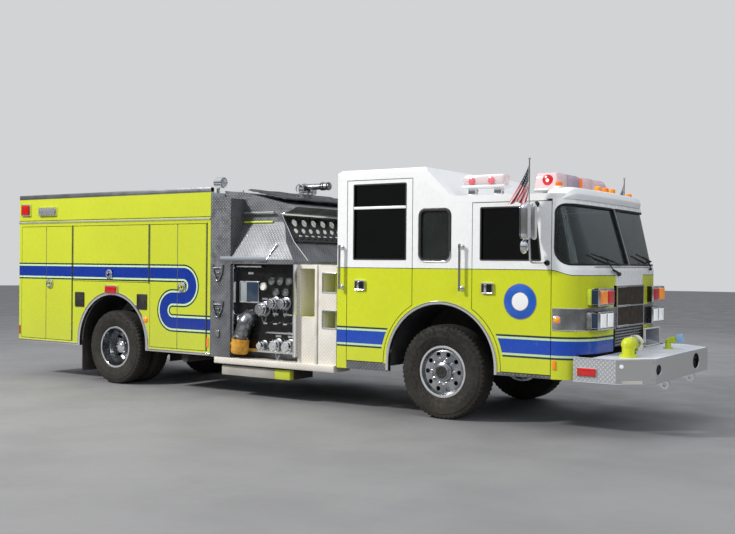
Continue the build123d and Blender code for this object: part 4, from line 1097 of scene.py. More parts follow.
@dataclass
class Tyre:
    """A ribbed road tyre with notched shoulders.

    Attributes:
        place: Its centre on the right side.
        radius: Its outer radius.
        width: Its width.
        rim: The rim's width.
        bead: The radius at which it leaves the rim.
        depth: How deep the grooves are.
        ribs: The grooves' places across a tyre of the ribs' own width.
        lugs: How many notches each shoulder has.
        count: How many points its circle has.
    """

    place: tuple
    radius: float
    width: float
    rim: float
    bead: float = 0.2975
    base: float = 0.285
    depth: float = 0.012
    ribs_width: float = 0.315
    ribs: tuple = (-0.066, -0.023, 0.023, 0.066)
    lugs: int = 60
    count: int = 240

    def profile(self) -> np.ndarray:
        """Give the section: a shoulder, its mirror image and a dip of the groove's depth between ribs."""
        half, rise = self.width / 2, self.radius - self.base
        side = rounded([(self.rim / 2 - 0.012, 0.286), (self.rim / 2 + 0.006, self.bead),
                        (self.rim / 2 + 0.018, self.bead + 0.022), (half - 0.001, self.base + rise * 0.46),
                        (half - 0.006, self.base + rise * 0.76), (half - 0.012, self.base + rise * 0.78),
                        (half - 0.023, self.radius - 0.014), (half - 0.038, self.radius - 0.001)],
                       [0, 0.004, 0.012, 0.05, 0.004, 0.01, 0.008, 0], 3, closed=False)
        outer = side[side[:, 0] > 0][::-1]
        scale = self.width / self.ribs_width
        tread = np.array([(g * scale + s, self.radius - d) for g in self.ribs
                          for s, d in ((-0.008, 0), (-0.005, self.depth), (0.005, self.depth), (0.008, 0))])
        return np.concatenate([outer[::-1] * (-1, 1), tread, outer])

    def shape(self) -> Shape:
        """Turn the section about the axle; where the shoulders are notched, their radius drops."""
        line = self.profile()
        angles = np.arange(self.count) * TURN / self.count
        notched, deep = 0.4, 0.011
        notch = np.mod(angles * self.lugs / TURN, 1) < notched
        shoulder = (np.abs(line[:, 0]) > self.width / 2 - 0.041) & (line[:, 1] > self.radius - 0.03)
        radius = line[:, 1, None] - deep * shoulder[:, None] * notch[None]
        loops = np.stack([radius * np.cos(angles), np.broadcast_to(-line[:, :1], radius.shape),
                          radius * np.sin(angles)], -1)
        return loft(loops[:, ::-1] + np.array(self.place), caps=False, closed=True)


@dataclass
class Wheels:
    """Tyres, and what is bolted to the rims."""

    front_y: float = 1.0425
    front_z: float = 0.5375
    rear_y: tuple = (1.0605, 0.7275)
    rear_z: float = 0.525
    bolt_circle: float = 0.143
    nuts: int = 10

    def build(self) -> None:
        """Make the tyres and the wheels' trim."""
        front_centre = (FRONT_AXLE, -self.front_y, self.front_z)
        front = Tyre(front_centre, 0.5375, 0.315, 0.229).shape()
        pair("front_road_tyre", front, RUBBER, "front_wheel_{side}", ("front_tyre_{side}",), crease=30.0)
        rear = [Tyre((REAR_AXLE, -y, self.rear_z), 0.525, 0.279, 0.210).shape() for y in self.rear_y]
        pair("rear_road_tyres", joined(*rear), RUBBER, "rear_wheels_{side}",
             ("rear_tyres_{side}",), crease=30.0)
        self.front_trim(front_centre)
        self.rear_trim((REAR_AXLE, -(self.rear_y[0] + self.rear_y[1]) / 2, self.rear_z))
        for side in Side:
            dress(WHEEL, f"front_rim_{side.word}", f"rear_rims_{side.word}")

    def nut(self, centre: tuple, out: float, length: float, radius: float) -> Shape:
        """Give a domed nut cover: a cone and a short cylinder with a round top, turned about its own axis."""
        dome = [(0, 0), (0, radius * 1.25), (0.004, radius * 1.25), (0.006, radius),
                (length - radius * 0.6, radius * 0.92), (length - radius * 0.15, radius * 0.6), (length, 0)]
        return lathe(dome, (centre[0], centre[1] - out, centre[2]), (0, -1, 0), 12)

    def ring_of_nuts(self, centre: tuple, out: float, length: float, radius: float) -> Shape:
        """Set the nuts evenly on the bolt circle."""
        one = self.nut((centre[0] + self.bolt_circle, centre[1], centre[2]), out, length, radius)
        return one.spun((0, 1, 0), centre, self.nuts)

    def front_trim(self, centre: tuple) -> None:
        """Dress the front wheel: nut covers, a polished hub ring and a dark hub cap."""
        pair("front_nuts", self.ring_of_nuts(centre, 0.104, 0.036, 0.0155), CHROME, "front_wheel_{side}")
        ring = lathe([(0.096, 0.108), (0.112, 0.108), (0.118, 0.102), (0.124, 0.072), (0.124, 0.05)], centre)
        pair("front_hub_rings", ring, WHEEL, "front_wheel_{side}")
        cap = lathe([(0.146, 0.071), (0.150, 0.066), (0.151, 0.046), (0.147, 0.042), (0.147, 0.020),
                     (0.152, 0.016), (0.152, 0)], centre)
        pair("front_hub_caps", cap, SEAL, "front_wheel_{side}")
        bead = lathe([(0.1265, 0.272), (0.1295, 0.276), (0.1295, 0.295), (0.1265, 0.2984),
                      (0.118, 0.2984)], centre)
        pair("front_rim_beads", bead, CHROME, "front_wheel_{side}")

    def rear_trim(self, centre: tuple) -> None:
        """Dress the rear wheels: nut covers and a bright axle flange with its own ring of bolts."""
        pair("rear_nuts", self.ring_of_nuts(centre, 0.008, 0.040, 0.0155), CHROME, "rear_wheels_{side}")
        flange = lathe([(0.174, 0.0845), (0.181, 0.083), (0.186, 0.076), (0.188, 0.05), (0.196, 0.04),
                        (0.197, 0)], centre)
        bolt = lathe([(0.184, 0), (0.184, 0.008), (0.194, 0.008), (0.196, 0.005), (0.196, 0)],
                     (centre[0] + 0.062, centre[1], centre[2]), (0, -1, 0), 6)
        pair("rear_hub_flanges", joined(flange, bolt.spun((0, 1, 0), centre, 8)), CHROME,
             "rear_wheels_{side}")
        out = self.rear_y[0] + centre[1]
        bead = lathe([(out + 0.117, 0.272), (out + 0.120, 0.276), (out + 0.120, 0.295),
                      (out + 0.117, 0.2984), (out + 0.108, 0.2984)], centre)
        pair("rear_rim_beads", bead, CHROME, "rear_wheels_{side}")


@dataclass
class Skin:
    """The outer surface of the cab's front: straight side, round corner and bowed nose at every height.

    At one height the plan is a line at the half width, a quarter circle, and a wide arc through the quarter
    circle's end and the nose. All their sizes change linearly from the belt to the eave.
    """

    belt: float = BELT
    eave: float = 2.465
    sizes: tuple = ((1.350, 1.285), (0.385, 0.235), (1.768, 1.545))

    def plan(self, z: np.ndarray) -> tuple:
        """Give the side's end, the corner's radius, the nose arc's radius and its centre at each height."""
        share = np.clip((np.asarray(z, float) - self.belt) / (self.eave - self.belt), 0, 1)
        end, radius, nose = (low + (high - low) * share for low, high in self.sizes)
        rise, half = nose - end - radius, HALF_WIDTH - radius
        wide = (half**2 + rise**2) / (2 * rise)
        return end, radius, wide, nose - wide

    def at_y(self, y: np.ndarray, z: np.ndarray, out: float = 0.0) -> np.ndarray:
        """Give the surface's points for a distance across and a height, lifted off it by a little."""
        y = np.asarray(y, float)
        end, radius, wide, centre = self.plan(z)
        corner = np.abs(y) > HALF_WIDTH - radius
        mid_x = np.where(corner, end, centre)
        mid_y = np.where(corner, -(HALF_WIDTH - radius), 0.0)
        size = np.where(corner, radius, wide)
        x = mid_x + np.sqrt(np.maximum(size**2 - (y - mid_y) ** 2, 0))
        point = np.stack([x, y, np.broadcast_to(z, x.shape)], -1)
        way = self.away(point, mid_x, mid_y)
        return point + out * way + np.array([FRONT_AXLE, 0, 0])

    def at_x(self, x: np.ndarray, z: np.ndarray, out: float = 0.0) -> np.ndarray:
        """Give the right corner's points for a distance ahead of the front axle and a height."""
        x = np.asarray(x, float)
        end, radius, _, _ = self.plan(z)
        mid_y = -(HALF_WIDTH - radius)
        y = mid_y - np.sqrt(np.maximum(radius**2 - np.maximum(x - end, 0) ** 2, 0))
        point = np.stack([x, y, np.broadcast_to(z, x.shape)], -1)
        return point + out * self.away(point, np.minimum(x, end), mid_y) + np.array([FRONT_AXLE, 0, 0])

    def away(self, point: np.ndarray, mid_x: np.ndarray, mid_y: np.ndarray) -> np.ndarray:
        """Give the level direction from an arc's middle to its points."""
        way = np.stack([point[..., 0] - mid_x, point[..., 1] - mid_y, np.zeros(point.shape[:-1])], -1)
        return unit(way)


SKIN = Skin()


def arch_path(arch: tuple, radius: float, feet: tuple) -> tuple:
    """Give the line up, over and down a wheel arch in side view.

    Args:
        arch: The arch's centre, ahead of the front axle and up.
        radius: The arch's radius.
        feet: The heights of the line's rear and front ends.

    Returns:
        The line's points, and the ways out of the opening at each.
    """
    angles = np.linspace(math.pi, 0, 40)
    ring = np.stack([np.cos(angles), np.sin(angles)], 1)
    x, z = at(arch[0]), arch[1]
    line = np.concatenate([[(x - radius, feet[0])], np.array([x, z]) + radius * ring,
                           [(x + radius, feet[1])]])
    out = np.concatenate([[(-1, 0, 0)], np.column_stack([ring[:, 0], 0 * angles, ring[:, 1]]), [(1, 0, 0)]])
    return line, out


@dataclass
class CabShell:
    """The trim of the cab's sides: window seals, handles, arch trim, steps, rails and the round badge.

    Attributes:
        arch: The wheel arch's centre, ahead of the front axle and up.
        door_glass: The corners of each door's window.
        doors: The doors' bodies.
        handles: Each handle's place along and height.
        rails: Rows of a grab rail's place along, and its bottom and top.
        screen: The windscreen's side edge, sill and head.
        screen_corners: The radii of its lower and upper outer corner.
        post: Half the gap between its panes' seals.
        badge: The round badge's place along and height.
    """

    arch: tuple = (0.0, ARCH_HEIGHT)
    arch_radius: float = 0.69
    door_glass: tuple = (((0.502, 1.809), (1.228, 1.809), (1.153, 2.390), (0.502, 2.390)),
                         ((-1.200, 1.807), (-0.461, 1.807), (-0.461, 2.700), (-1.200, 2.700)))
    doors: tuple = ("front_door_{side}", "rear_door_{side}")
    handles: tuple = ((0.601, 1.5025), (-1.093, 1.5025))
    rails: tuple = ((0.277, 1.464, 1.988), (-1.362, 1.448, 1.981))
    screen: tuple = (1.384, 1.770, 2.405)
    screen_corners: tuple = (0.17, 0.09)
    post: float = 0.024
    badge: tuple = (0.989, 1.367)

    def build(self) -> None:
        """Dress the shell and add its trim."""
        words = [side.word for side in Side]
        dress(CAB_PAINT, "cab_sides", "cab_front", *(f"{d}_door_{s}" for d in ("front", "rear")
                                                     for s in words))
        dress(ROOF_WHITE, "cab_roof")
        dress(PLASTIC, "cab_floor")
        dress(SCREEN_GLASS, "cab_glass")
        dress(GLASS, *(f"{d}_door_glass_{s}" for d in ("front", "rear") for s in words))
        dress(CHROME, "cab_rails")
        self.windows()
        self.windscreen()
        self.arches()
        self.door_handles()
        self.steps()
        self.small_parts()

    def windows(self) -> None:
        """Line each side window with its seal, split the tall one by a bar and trim the fixed one."""
        seal = [(-0.012, -0.012), (0.004, -0.012), (0.004, 0.003), (-0.012, 0.003)]
        for number, (corners, body) in enumerate(zip(self.door_glass, self.doors)):
            outline = rounded([(at(x), z) for x, z in corners], 0.014, 3)
            pair(f"door_seal_{number}", band(outline, side_plane(), seal), SEAL, body, crease=50)
        bar_z, low, high = 2.42, at(-1.2), at(-0.461)
        split = box((low, -HALF_WIDTH - 0.004, bar_z - 0.016),
                    (high, -HALF_WIDTH + 0.03, bar_z + 0.016), 0.004)
        pair("sash_bar", split, ROOF_WHITE, "rear_door_{side}")
        outline = rectangle(0.406, 0.59, 0.075, (at(-0.079), 2.091), 6)
        ring = [(-0.02, -0.02), (0.012, -0.02), (0.012, 0.004), (0.004, 0.008), (-0.02, 0.004)]
        pair("fixed_window_seal", band(outline, side_plane(), ring), SEAL, "cab", crease=50)
        lower = rounded([(at(-0.286), 1.90), (at(-0.286), 1.790), (at(0.128), 1.790), (at(0.128), 1.90)],
                        [0, 0.08, 0.08, 0], 6, closed=False)
        path = side_plane().place(lower, 0.008)
        pair("fixed_window_trim", tube(path, 0.006, 8), CHROME, "cab")

    def windscreen(self) -> None:
        """Run the black seal round each pane along the skin, and cover the post between the panes."""
        edge, sill, head = self.screen
        low, high = self.screen_corners
        turn = np.linspace(0, math.pi / 2, 8)
        x = np.concatenate([edge + low * (1 - np.sin(turn)), edge + high * (1 - np.cos(turn))])
        z = np.concatenate([sill + low * (1 - np.cos(turn)), head - high * (1 - np.sin(turn))])
        side = SKIN.at_x(x, z)
        across_low = np.linspace(-self.post, side[0, 1], 22)[:-1]
        across_high = np.linspace(side[-1, 1], -self.post, 22)[1:]
        inner = np.full(8, -self.post), np.linspace(head, sill, 10)[1:-1]
        path, lifted = (np.concatenate([
            SKIN.at_y(across_low, np.full(21, sill), out), SKIN.at_x(x, z, out),
            SKIN.at_y(across_high, np.full(21, head), out), SKIN.at_y(*inner, out)]) for out in (0.0, 1.0))
        section = rectangle(0.026, 0.024, 0.006, (-0.008, 0), 2)
        pair("windscreen_seal", sweep(path, section, lifted - path, closed=True), SEAL, "cab", crease=60)

    def arches(self) -> None:
        """Trim the arch: a bright band that follows the opening round and turns into it."""
        line, out = arch_path(self.arch, self.arch_radius, (0.515, 0.560))
        section = np.array([(-0.002, -0.045), (-0.002, 0.008), (0.010, 0.014), (0.032, 0.011),
                            (0.036, 0.002), (0.034, 0.0), (0.0, -0.0)])
        trim = sweep(side_plane().place(line), section, out)
        pair("front_arch_trim", trim, CHROME, "cab", crease=50)

    def door_handles(self) -> None:
        """Set a paddle handle in a dished plate on each door."""
        for (x, z), body, number in zip(self.handles, self.doors, (0, 1)):
            plate = band(rectangle(0.150, 0.125, 0.016, (at(x), z)), side_plane(),
                         [(-0.016, 0), (0, 0), (0, 0.024), (-0.006, 0.030), (-0.016, 0.026)])
            dish = slab(rectangle(0.122, 0.098, 0.01, (at(x), z)), side_plane(), 0.020, 0.0235, 0.001)
            paddle = slab(rectangle(0.034, 0.086, 0.008, (at(x) - 0.018, z)), side_plane(),
                          0.022, 0.036, 0.005)
            pair(f"handle_plate_{number}", joined(plate, paddle), CHROME, body)
            pair(f"handle_dish_{number}", dish, BLACK, body)

    def steps(self) -> None:
        """Cover the sills below the doors with narrow tread plates."""
        for name, low, high, bottom, top in (("front", 0.700, 1.350, 0.557, 0.592),
                                             ("rear", -1.290, -0.700, 0.500, 0.592)):
            strip = box((at(low), -HALF_WIDTH - 0.004, bottom),
                        (at(high), -HALF_WIDTH + 0.03, top), 0.002, 1)
            pair(f"{name}_step_strip", strip, PLATE, "cab")

    def small_parts(self) -> None:
        """Add the rails' feet and ends, the round badge and the corner marker."""
        foot = lathe([(0, 0), (0, 0.032), (0.006, 0.032), (0.014, 0.022), (0.016, 0.0)],
                     (0, 0, 0), (0, -1, 0), 20)
        spots = [(at(x), -HALF_WIDTH, z) for x, low, high in self.rails for z in (low + 0.03, high - 0.03)]
        pair("rail_feet", foot.repeated(spots), CHROME, "cab")
        ends = lathe([(-0.022, 0), (-0.022, 0.012), (-0.016, 0.019), (0.016, 0.019), (0.022, 0.012),
                      (0.022, 0)], (0, 0, 0), (0, 0, 1), 16)
        pair("rail_ends", ends.repeated([(x, y - 0.06, z) for x, y, z in spots]), CHROME, "cab")
        x, z = at(self.badge[0]), self.badge[1]
        disc = lathe([(0, 0), (0, 0.195), (0.0015, 0.195), (0.0022, 0.193), (0.0022, 0)],
                     (x, -HALF_WIDTH, z), count=64)
        pair("badge_ring", disc, BADGE_BLUE, "front_door_{side}")
        inner = lathe([(0.0018, 0), (0.0018, 0.095), (0.0032, 0.095), (0.0036, 0.092), (0.0036, 0)],
                      (x, -HALF_WIDTH, z), count=48)
        pair("badge_centre", inner, ROOF_WHITE, "front_door_{side}")
        rims = joined(*(lathe([(0, r), (0.0034, r + 0.001), (0.0034, r + 0.004), (0, r + 0.005)],
                              (x, -HALF_WIDTH, z), count=64) for r in (0.189, 0.095)))
        pair("badge_rims", rims, GOLD, "front_door_{side}")
        face = SKIN.at_x(np.array([1.372, 1.404]), np.array([0.71, 0.71]), 0.0)
        way = unit((face[1] - face[0])[None])[0]
        plane = Plane(tuple(face.mean(0)), tuple(way), (0, 0, 1))
        pair("corner_marker", slab(rectangle(0.034, 0.10, 0.012), plane, 0.0, 0.014, 0.005), AMBER, "cab")


@dataclass
class Front:
    """The cab's face: grille, lamps, stainless band, wipers; and what the bumper carries.

    Attributes:
        face: How far ahead of the front axle the lamps' housings reach.
        lamp_y: The outer and the inner lens's place across.
        lamps: Rows of height, lens height and the lenses' finishes from the outside in.
        pivots: Each wiper pivot's place across and height.
        ports: Rows of place across, height, width and depth up of the bumper's openings.
    """

    face: float = 1.820
    lamp_y: tuple = (-0.95975, -0.75525)
    lamps: tuple = ((1.4275, 0.145, (AMBER, RED)), (1.18, 0.150, (HEADLAMP, HEADLAMP)))
    band_low: float = 1.075
    band_high: float = 1.305
    pivots: tuple = ((-0.38, 1.668), (0.92, 1.678))
    ports: tuple = ((-0.848, 0.692, 0.190, 0.128), (0.480, 0.688, 0.270, 0.196))

    def build(self) -> None:
        """Make the face and dress the bumper."""
        dress(CHROME, "tow_eyes")
        self.grille()
        self.housings()
        self.lamp_pairs()
        self.stainless()
        self.wipers()
        self.bumper_shell()
        self.bumper()
        self.face_plate()
        self.deck_fittings()

    def grille(self) -> None:
        """Make the bright frame with its two recesses of mesh, and level blades over a black back that is
        painted shade behind them.
        """
        bars = ((-0.444, -0.4235, 1.080, 1.545), (0.4235, 0.444, 1.080, 1.545), (-0.43, 0.43, 1.080, 1.102),
                (-0.43, 0.43, 1.305, 1.325), (-0.43, 0.43, 1.523, 1.545))
        frame_bars = joined(*(box((at(1.725), y0, z0), (at(1.781), y1, z1), 0.003, 1)
                              for y0, y1, z0, z1 in bars))
        make("grille_frame", frame_bars, CHROME, "cab", ("grille",))
        mesh = joined(*(box((at(1.745), -0.425, low), (at(1.7625), 0.425, high))
                        for low, high in ((1.1, 1.307), (1.323, 1.525))))
        make("grille_mesh", mesh, MESH, "cab", smooth=False)
        slats = box((at(1.7484), -0.436, 0.0), (at(1.760), 0.436, 0.014), 0.003)
        make("lower_slats", slats.repeated([(0, 0, z) for z in np.arange(0.885, 1.06, 0.032)]), SATIN, "cab")
        # A black box behind the blades, standing in for the shade behind the grille: painted shade.
        make("lower_slats_back", box((at(1.723), -0.44, 0.870), (at(1.7487), 0.44, 1.085)), BLACK, "cab")

    def housings(self) -> None:
        """Make two lamp housings a side: black boxes with a bright frame round their open face."""
        plane = front_plane(at(self.face))
        lip = [(-0.016, -0.016), (0, -0.016), (0, -0.003), (-0.003, 0), (-0.012, 0), (-0.016, -0.003)]
        cases, frames = [], []
        for name, (z, height, _) in zip(("upper", "lower"), self.lamps):
            low, high = z - height / 2 - 0.02, z + height / 2 + 0.02
            cases.append(box((at(1.732), -1.069, low), (at(1.8065), -0.646, high), 0.004))
            filler = box((at(1.64), -1.062, low + 0.006), (at(1.735), -0.646, high - 0.006), 0.012)
            pair(f"lamp_root_{name}", filler, PLAIN_LIME if name == "upper" else STAINLESS, "cab")
            frames.append(band(rectangle(0.425, height + 0.042, 0.008, (-0.8575, z)), plane, lip))
            frames.append(box((at(1.806), -0.8655, z - height / 2),
                              (at(1.8195), -0.8495, z + height / 2), 0.002, 1))
            ring = [(-0.006, 0), (0, 0), (0, 0.004), (-0.006, 0.004)]
            frames.append(band(rectangle(0.078, height + 0.012, 0.006, (at(1.768), z)),
                               side_plane(1.069), ring))
        pair("lamp_housings", joined(*cases), BLACK, "cab", ("head_lamps",))
        pair("lamp_frames", joined(*frames), CHROME, "cab", crease=50)

    def lamp_pairs(self) -> None:
        """Set bright rims and lenses in both housings, with bowls behind the clear ones."""
        plane = front_plane(at(self.face))
        ring = [(-0.006, -0.010), (0.0, -0.010), (0.0, 0.002), (-0.002, 0.004), (-0.006, 0.002)]
        for (z, height, lenses), name in zip(self.lamps, ("upper", "lower")):
            rims = [band(rectangle(0.186, height + 0.006, 0.01, (y, z)), plane, ring) for y in self.lamp_y]
            pair(f"lamp_rims_{name}", joined(*rims), CHROME, "cab", crease=50)
            for y, lens, place in zip(self.lamp_y, lenses, ("outer", "inner")):
                swell = 0.016 if name == "upper" else 0.006
                dome = slab(rectangle(0.174, height - 0.004, 0.016, (y, z)), plane, -0.012, swell, 0.014, 5)
                pair(f"lens_{place}_{name}", dome, lens, "cab")
            inset = slab(rectangle(0.058, height - 0.01, 0.006, (at(1.768), z)),
                         side_plane(1.069), 0, 0.0012)
            pair(f"lamp_end_{name}", inset, NAVY_GLASS, "cab")
        bowl = lathe([(-0.0055, 0.069), (-0.008, 0.066), (-0.0125, 0.030), (-0.0128, 0.0)],
                     (0, 0, 0), (1, 0, 0), 32)
        places = [(at(self.face), y, self.lamps[1][0]) for y in self.lamp_y]
        pair("headlamp_bowls", bowl.repeated(places), CHROME, "cab")

    def stainless(self) -> None:
        """Wrap a brushed band round the corner, with a bright bead along both edges and a round marker."""
        x = np.linspace(1.362, 1.690, 14)
        y = np.linspace(-1.04, -0.446, 10)
        z = (self.band_low + self.band_high) / 2
        path, lifted = (np.concatenate([SKIN.at_x(x, np.full(14, z), out),
                                        SKIN.at_y(y, np.full(10, z), out)]) for out in (0.0, 1.0))
        way = lifted - path
        height = self.band_high - self.band_low
        pair("stainless_band", sweep(path, rectangle(0.006, height, 0), way), STAINLESS, "cab", crease=50)
        beads = [sweep(path + (0, 0, s * height / 2), rectangle(0.012, 0.012, 0.004), way) for s in (-1, 1)]
        pair("band_beads", joined(*beads), CHROME, "cab", crease=50)
        spot, ahead = SKIN.at_x(np.array([1.412, 1.413]), np.array([1.185, 1.185]))
        axis = np.cross(unit((ahead - spot)[None])[0], (0, 0, 1))
        marker = lathe([(0, 0), (0.0, 0.036), (0.012, 0.034), (0.022, 0.024), (0.027, 0.0)], tuple(spot),
                       tuple(axis), 24)
        pair("corner_beacon", marker, AMBER, "cab")
        collar = lathe([(0, 0.034), (0.0, 0.046), (0.008, 0.044), (0.012, 0.036)], tuple(spot),
                       tuple(axis), 24)
        pair("corner_beacon_collar", collar, CHROME, "cab")

    def wipers(self) -> None:
        """Lay an arm and a blade over each pane, just ahead of it, and a bright bead along the sill."""
        arms, blades = [], []
        for y, z in self.pivots:
            foot, wedge, wrist = (SKIN.at_y(np.array([y + dy]), np.array([z + dz]), out)[0]
                                  for dy, dz, out in ((0, 0, 0.012), (-0.20, 0.045, 0.032),
                                                      (-0.31, 0.150, 0.034)))
            pivot = lathe([(-0.012, 0), (-0.012, 0.022), (0.018, 0.020), (0.024, 0.012), (0.024, 0)],
                          tuple(foot), (1, 0, 0.2), 16)
            arms += [pivot, bar(tuple(foot + (0.016, 0, 0)), tuple(wedge), 0.014, 8),
                     bar(tuple(wedge), tuple(wrist), 0.007, 8)]
            ends = SKIN.at_y(y + np.linspace(-0.60, 0.09, 12), z + np.linspace(0.215, 0.10, 12), 0.016)
            blades += [tube(ends, 0.009, 6), tube(ends[3:9] + (0.012, 0, 0.004), 0.006, 6)]
        make("wiper_arms", joined(*arms), SEAL, "cab")
        make("wiper_blades", joined(*blades), SEAL, "cab")
        post = SKIN.at_y(np.full(9, -0.001), np.linspace(1.765, 2.41, 9), 0.001)
        make("screen_post", sweep(post, rectangle(0.012, 0.056, 0.004), (1, 0, 0)), SEAL, "cab")
        inlay = SKIN.at_y(np.full(9, -0.001), np.linspace(1.775, 2.40, 9), 0.0075)
        make("screen_post_inlay", sweep(inlay, rectangle(0.004, 0.022, 0.001), (1, 0, 0)), GREY_PAINT, "cab")
        sill = SKIN.at_y(np.linspace(-0.96, 0.96, 33), np.full(33, 1.745), 0.004)
        make("screen_sill_bead", tube(sill, 0.006, 6), CHROME, "cab")

    def bumper_shell(self) -> None:
        """Make the bumper: its folded wall, a front plate with two oval openings, and the deck.

        Round each opening the plate is a ring of quads from the oval to a rectangle that its rays meet.
        """
        wall, front, low, high = 0.008, NOSE, 0.55, 0.81
        outer = [(at(1.60), -HALF_WIDTH), (at(2.06), -HALF_WIDTH), (front, -0.945)]
        inner = [(front - wall, -0.941), (at(2.056), -HALF_WIDTH + wall), (at(1.60), -HALF_WIDTH + wall)]
        wing = slab(np.array(outer + inner), top_plane(0), low, high)
        faces = []
        edges = [-0.945]
        for y, z, width, height in self.ports:
            turn = np.arange(48) * TURN / 48 + TURN / 96
            ray = np.stack([np.cos(turn), np.sin(turn)], 1)
            half = np.array([min(width / 2 + 0.03, 0.9445 - abs(y)), (high - low) / 2])
            middle = np.array([y, (low + high) / 2])
            oval = ray * (width / 2, height / 2) + (y, z)
            way = oval - middle
            frame_line = middle + way * (half / np.maximum(np.abs(way), 1e-6)).min(1, keepdims=True)
            corners = middle + half * np.array([(1, 1), (-1, 1), (-1, -1), (1, -1)])
            snap = np.argmin(np.linalg.norm(frame_line[None] - corners[:, None], axis=2), axis=1)
            frame_line[snap] = corners
            line = front_plane(front)
            faces.append(loft(np.stack([line.place(frame_line, -wall), line.place(frame_line),
                                        line.place(oval), line.place(oval, -wall)]),
                              caps=False, closed=True))
            edges += [y - half[0], y + half[0]]
        edges.append(0.945)
        strips = [box((front - wall, a, low), (front, b, high)) for a, b in zip(edges[::2], edges[1::2])]
        rear = [(at(1.80), HALF_WIDTH - wall), (at(1.80), -HALF_WIDTH + wall)]
        side = [(at(2.056), -HALF_WIDTH + wall), (front - wall, -0.941)]
        deck = slab(np.array(rear + side + [(x, -y) for x, y in side[::-1]]), top_plane(0),
                    high - wall, high)
        make("bumper_shell", joined(wing, wing.mirrored(), *faces, *strips), BUMPER, "chassis",
             ("front_bumper",))
        make("bumper_deck", deck, DECK, "chassis")

    def bumper(self) -> None:
        """Add the bumper's rolled rims, side lamps, the sleeves of its openings, strips, bulbs and bolts."""
        outline = np.array([(at(x), y, 0.803) for x, y in ((1.60, -HALF_WIDTH), (2.06, -HALF_WIDTH),
                                                           (2.378, -0.945), (2.378, 0.945),
                                                           (2.06, HALF_WIDTH), (1.60, HALF_WIDTH))])
        shift = np.array([(0.0, 0.004), (-0.003, 0.004), (-0.0085, 0.003)])
        inner = outline + np.column_stack([np.concatenate([shift, shift[::-1] * (1, -1)]), np.zeros(6)])
        corner = rounded(inner.tolist(), 0.03, 4, closed=False)
        rims = [sweep(corner + (0, 0, z), circle(0.0075, 8), (0, 0, 1)) for z in (0.0, -0.249)]
        make("bumper_rims", joined(*rims), CHROME, "chassis")
        lamp = slab(rectangle(0.20, 0.08, 0.01, (at(1.75), 0.66)), side_plane(), 0.0, 0.024, 0.008)
        pair("bumper_side_lamp", lamp, RED, "chassis")
        collar = band(rectangle(0.212, 0.092, 0.012, (at(1.75), 0.66)), side_plane(),
                      [(-0.008, 0), (0, 0), (0, 0.010), (-0.004, 0.013), (-0.008, 0.010)])
        pair("bumper_lamp_rim", collar, CHROME, "chassis")
        for name, (y, z, width, height) in zip(("near", "far"), self.ports):
            oval = circle(0.5, 40) * (width, height) + (y, z)
            sleeve = [(-0.002, -0.075), (0.004, -0.075), (0.004, -0.009), (-0.002, -0.009)]
            plane = front_plane(NOSE)
            rim = [(-0.012, -0.012), (0.001, -0.012), (0.001, -0.0002), (-0.008, -0.0002), (-0.012, -0.004)]
            make(f"bumper_port_sleeve_{name}", joined(band(oval, plane, sleeve), band(oval, plane, rim)),
                 CHROME, "chassis")
            # A black back closes each sleeve: painted shade, standing in for the dark inside the bumper.
            make(f"bumper_port_back_{name}", slab(oval, plane, -0.078, -0.072), BLACK, "chassis")
        way = unit(np.array([[0.318, 0.290, 0]]))[0]
        diagonal = Plane((at(2.219), -1.090, 0), tuple(way), (0, 0, 1))
        pair("corner_strip", slab(rectangle(0.22, 0.034, 0.003, (-0.04, 0.571)), diagonal, 0.0, 0.002),
             PANEL_WHITE, "chassis")
        out = tuple(np.cross(way, (0, 0, 1)))
        bulb, bolt = (lathe([(0, 0), (0, r), (r * 0.35, r * 0.9), (r * 0.6, 0.0)], (0, 0, 0), out, 20)
                      for r in (0.022, 0.009))
        pair("corner_bulb", bulb.moved(*diagonal.place(np.array([-0.155, 0.735]))), HEADLAMP, "chassis")
        spots = [(u, z) for u in (-0.19, 0.19) for z in (0.60, 0.775)]
        pair("corner_bolts", bolt.repeated(diagonal.place(np.array(spots))), CHROME, "chassis")

    def face_plate(self) -> None:
        """Hang a bare framed plate on the cab's far side, just above the deck, on a bracket of its own."""
        plane, centre = front_plane(at(1.80)), (0.70, 0.925)
        make("cab_sign", slab(rectangle(0.52, 0.19, 0.006, centre), plane, -0.03, 0.0, 0.003),
             NAVY_GLASS, "cab")
        lip = [(-0.014, -0.02), (0, -0.02), (0, 0.002), (-0.003, 0.005), (-0.014, 0.005)]
        make("cab_sign_rim", band(rectangle(0.545, 0.215, 0.01, centre), plane, lip), PANEL_WHITE, "cab")
        make("cab_sign_bracket", box((at(1.68), 0.60, 0.90), (at(1.775), 0.78, 0.95), 0.004), SEAL, "cab")

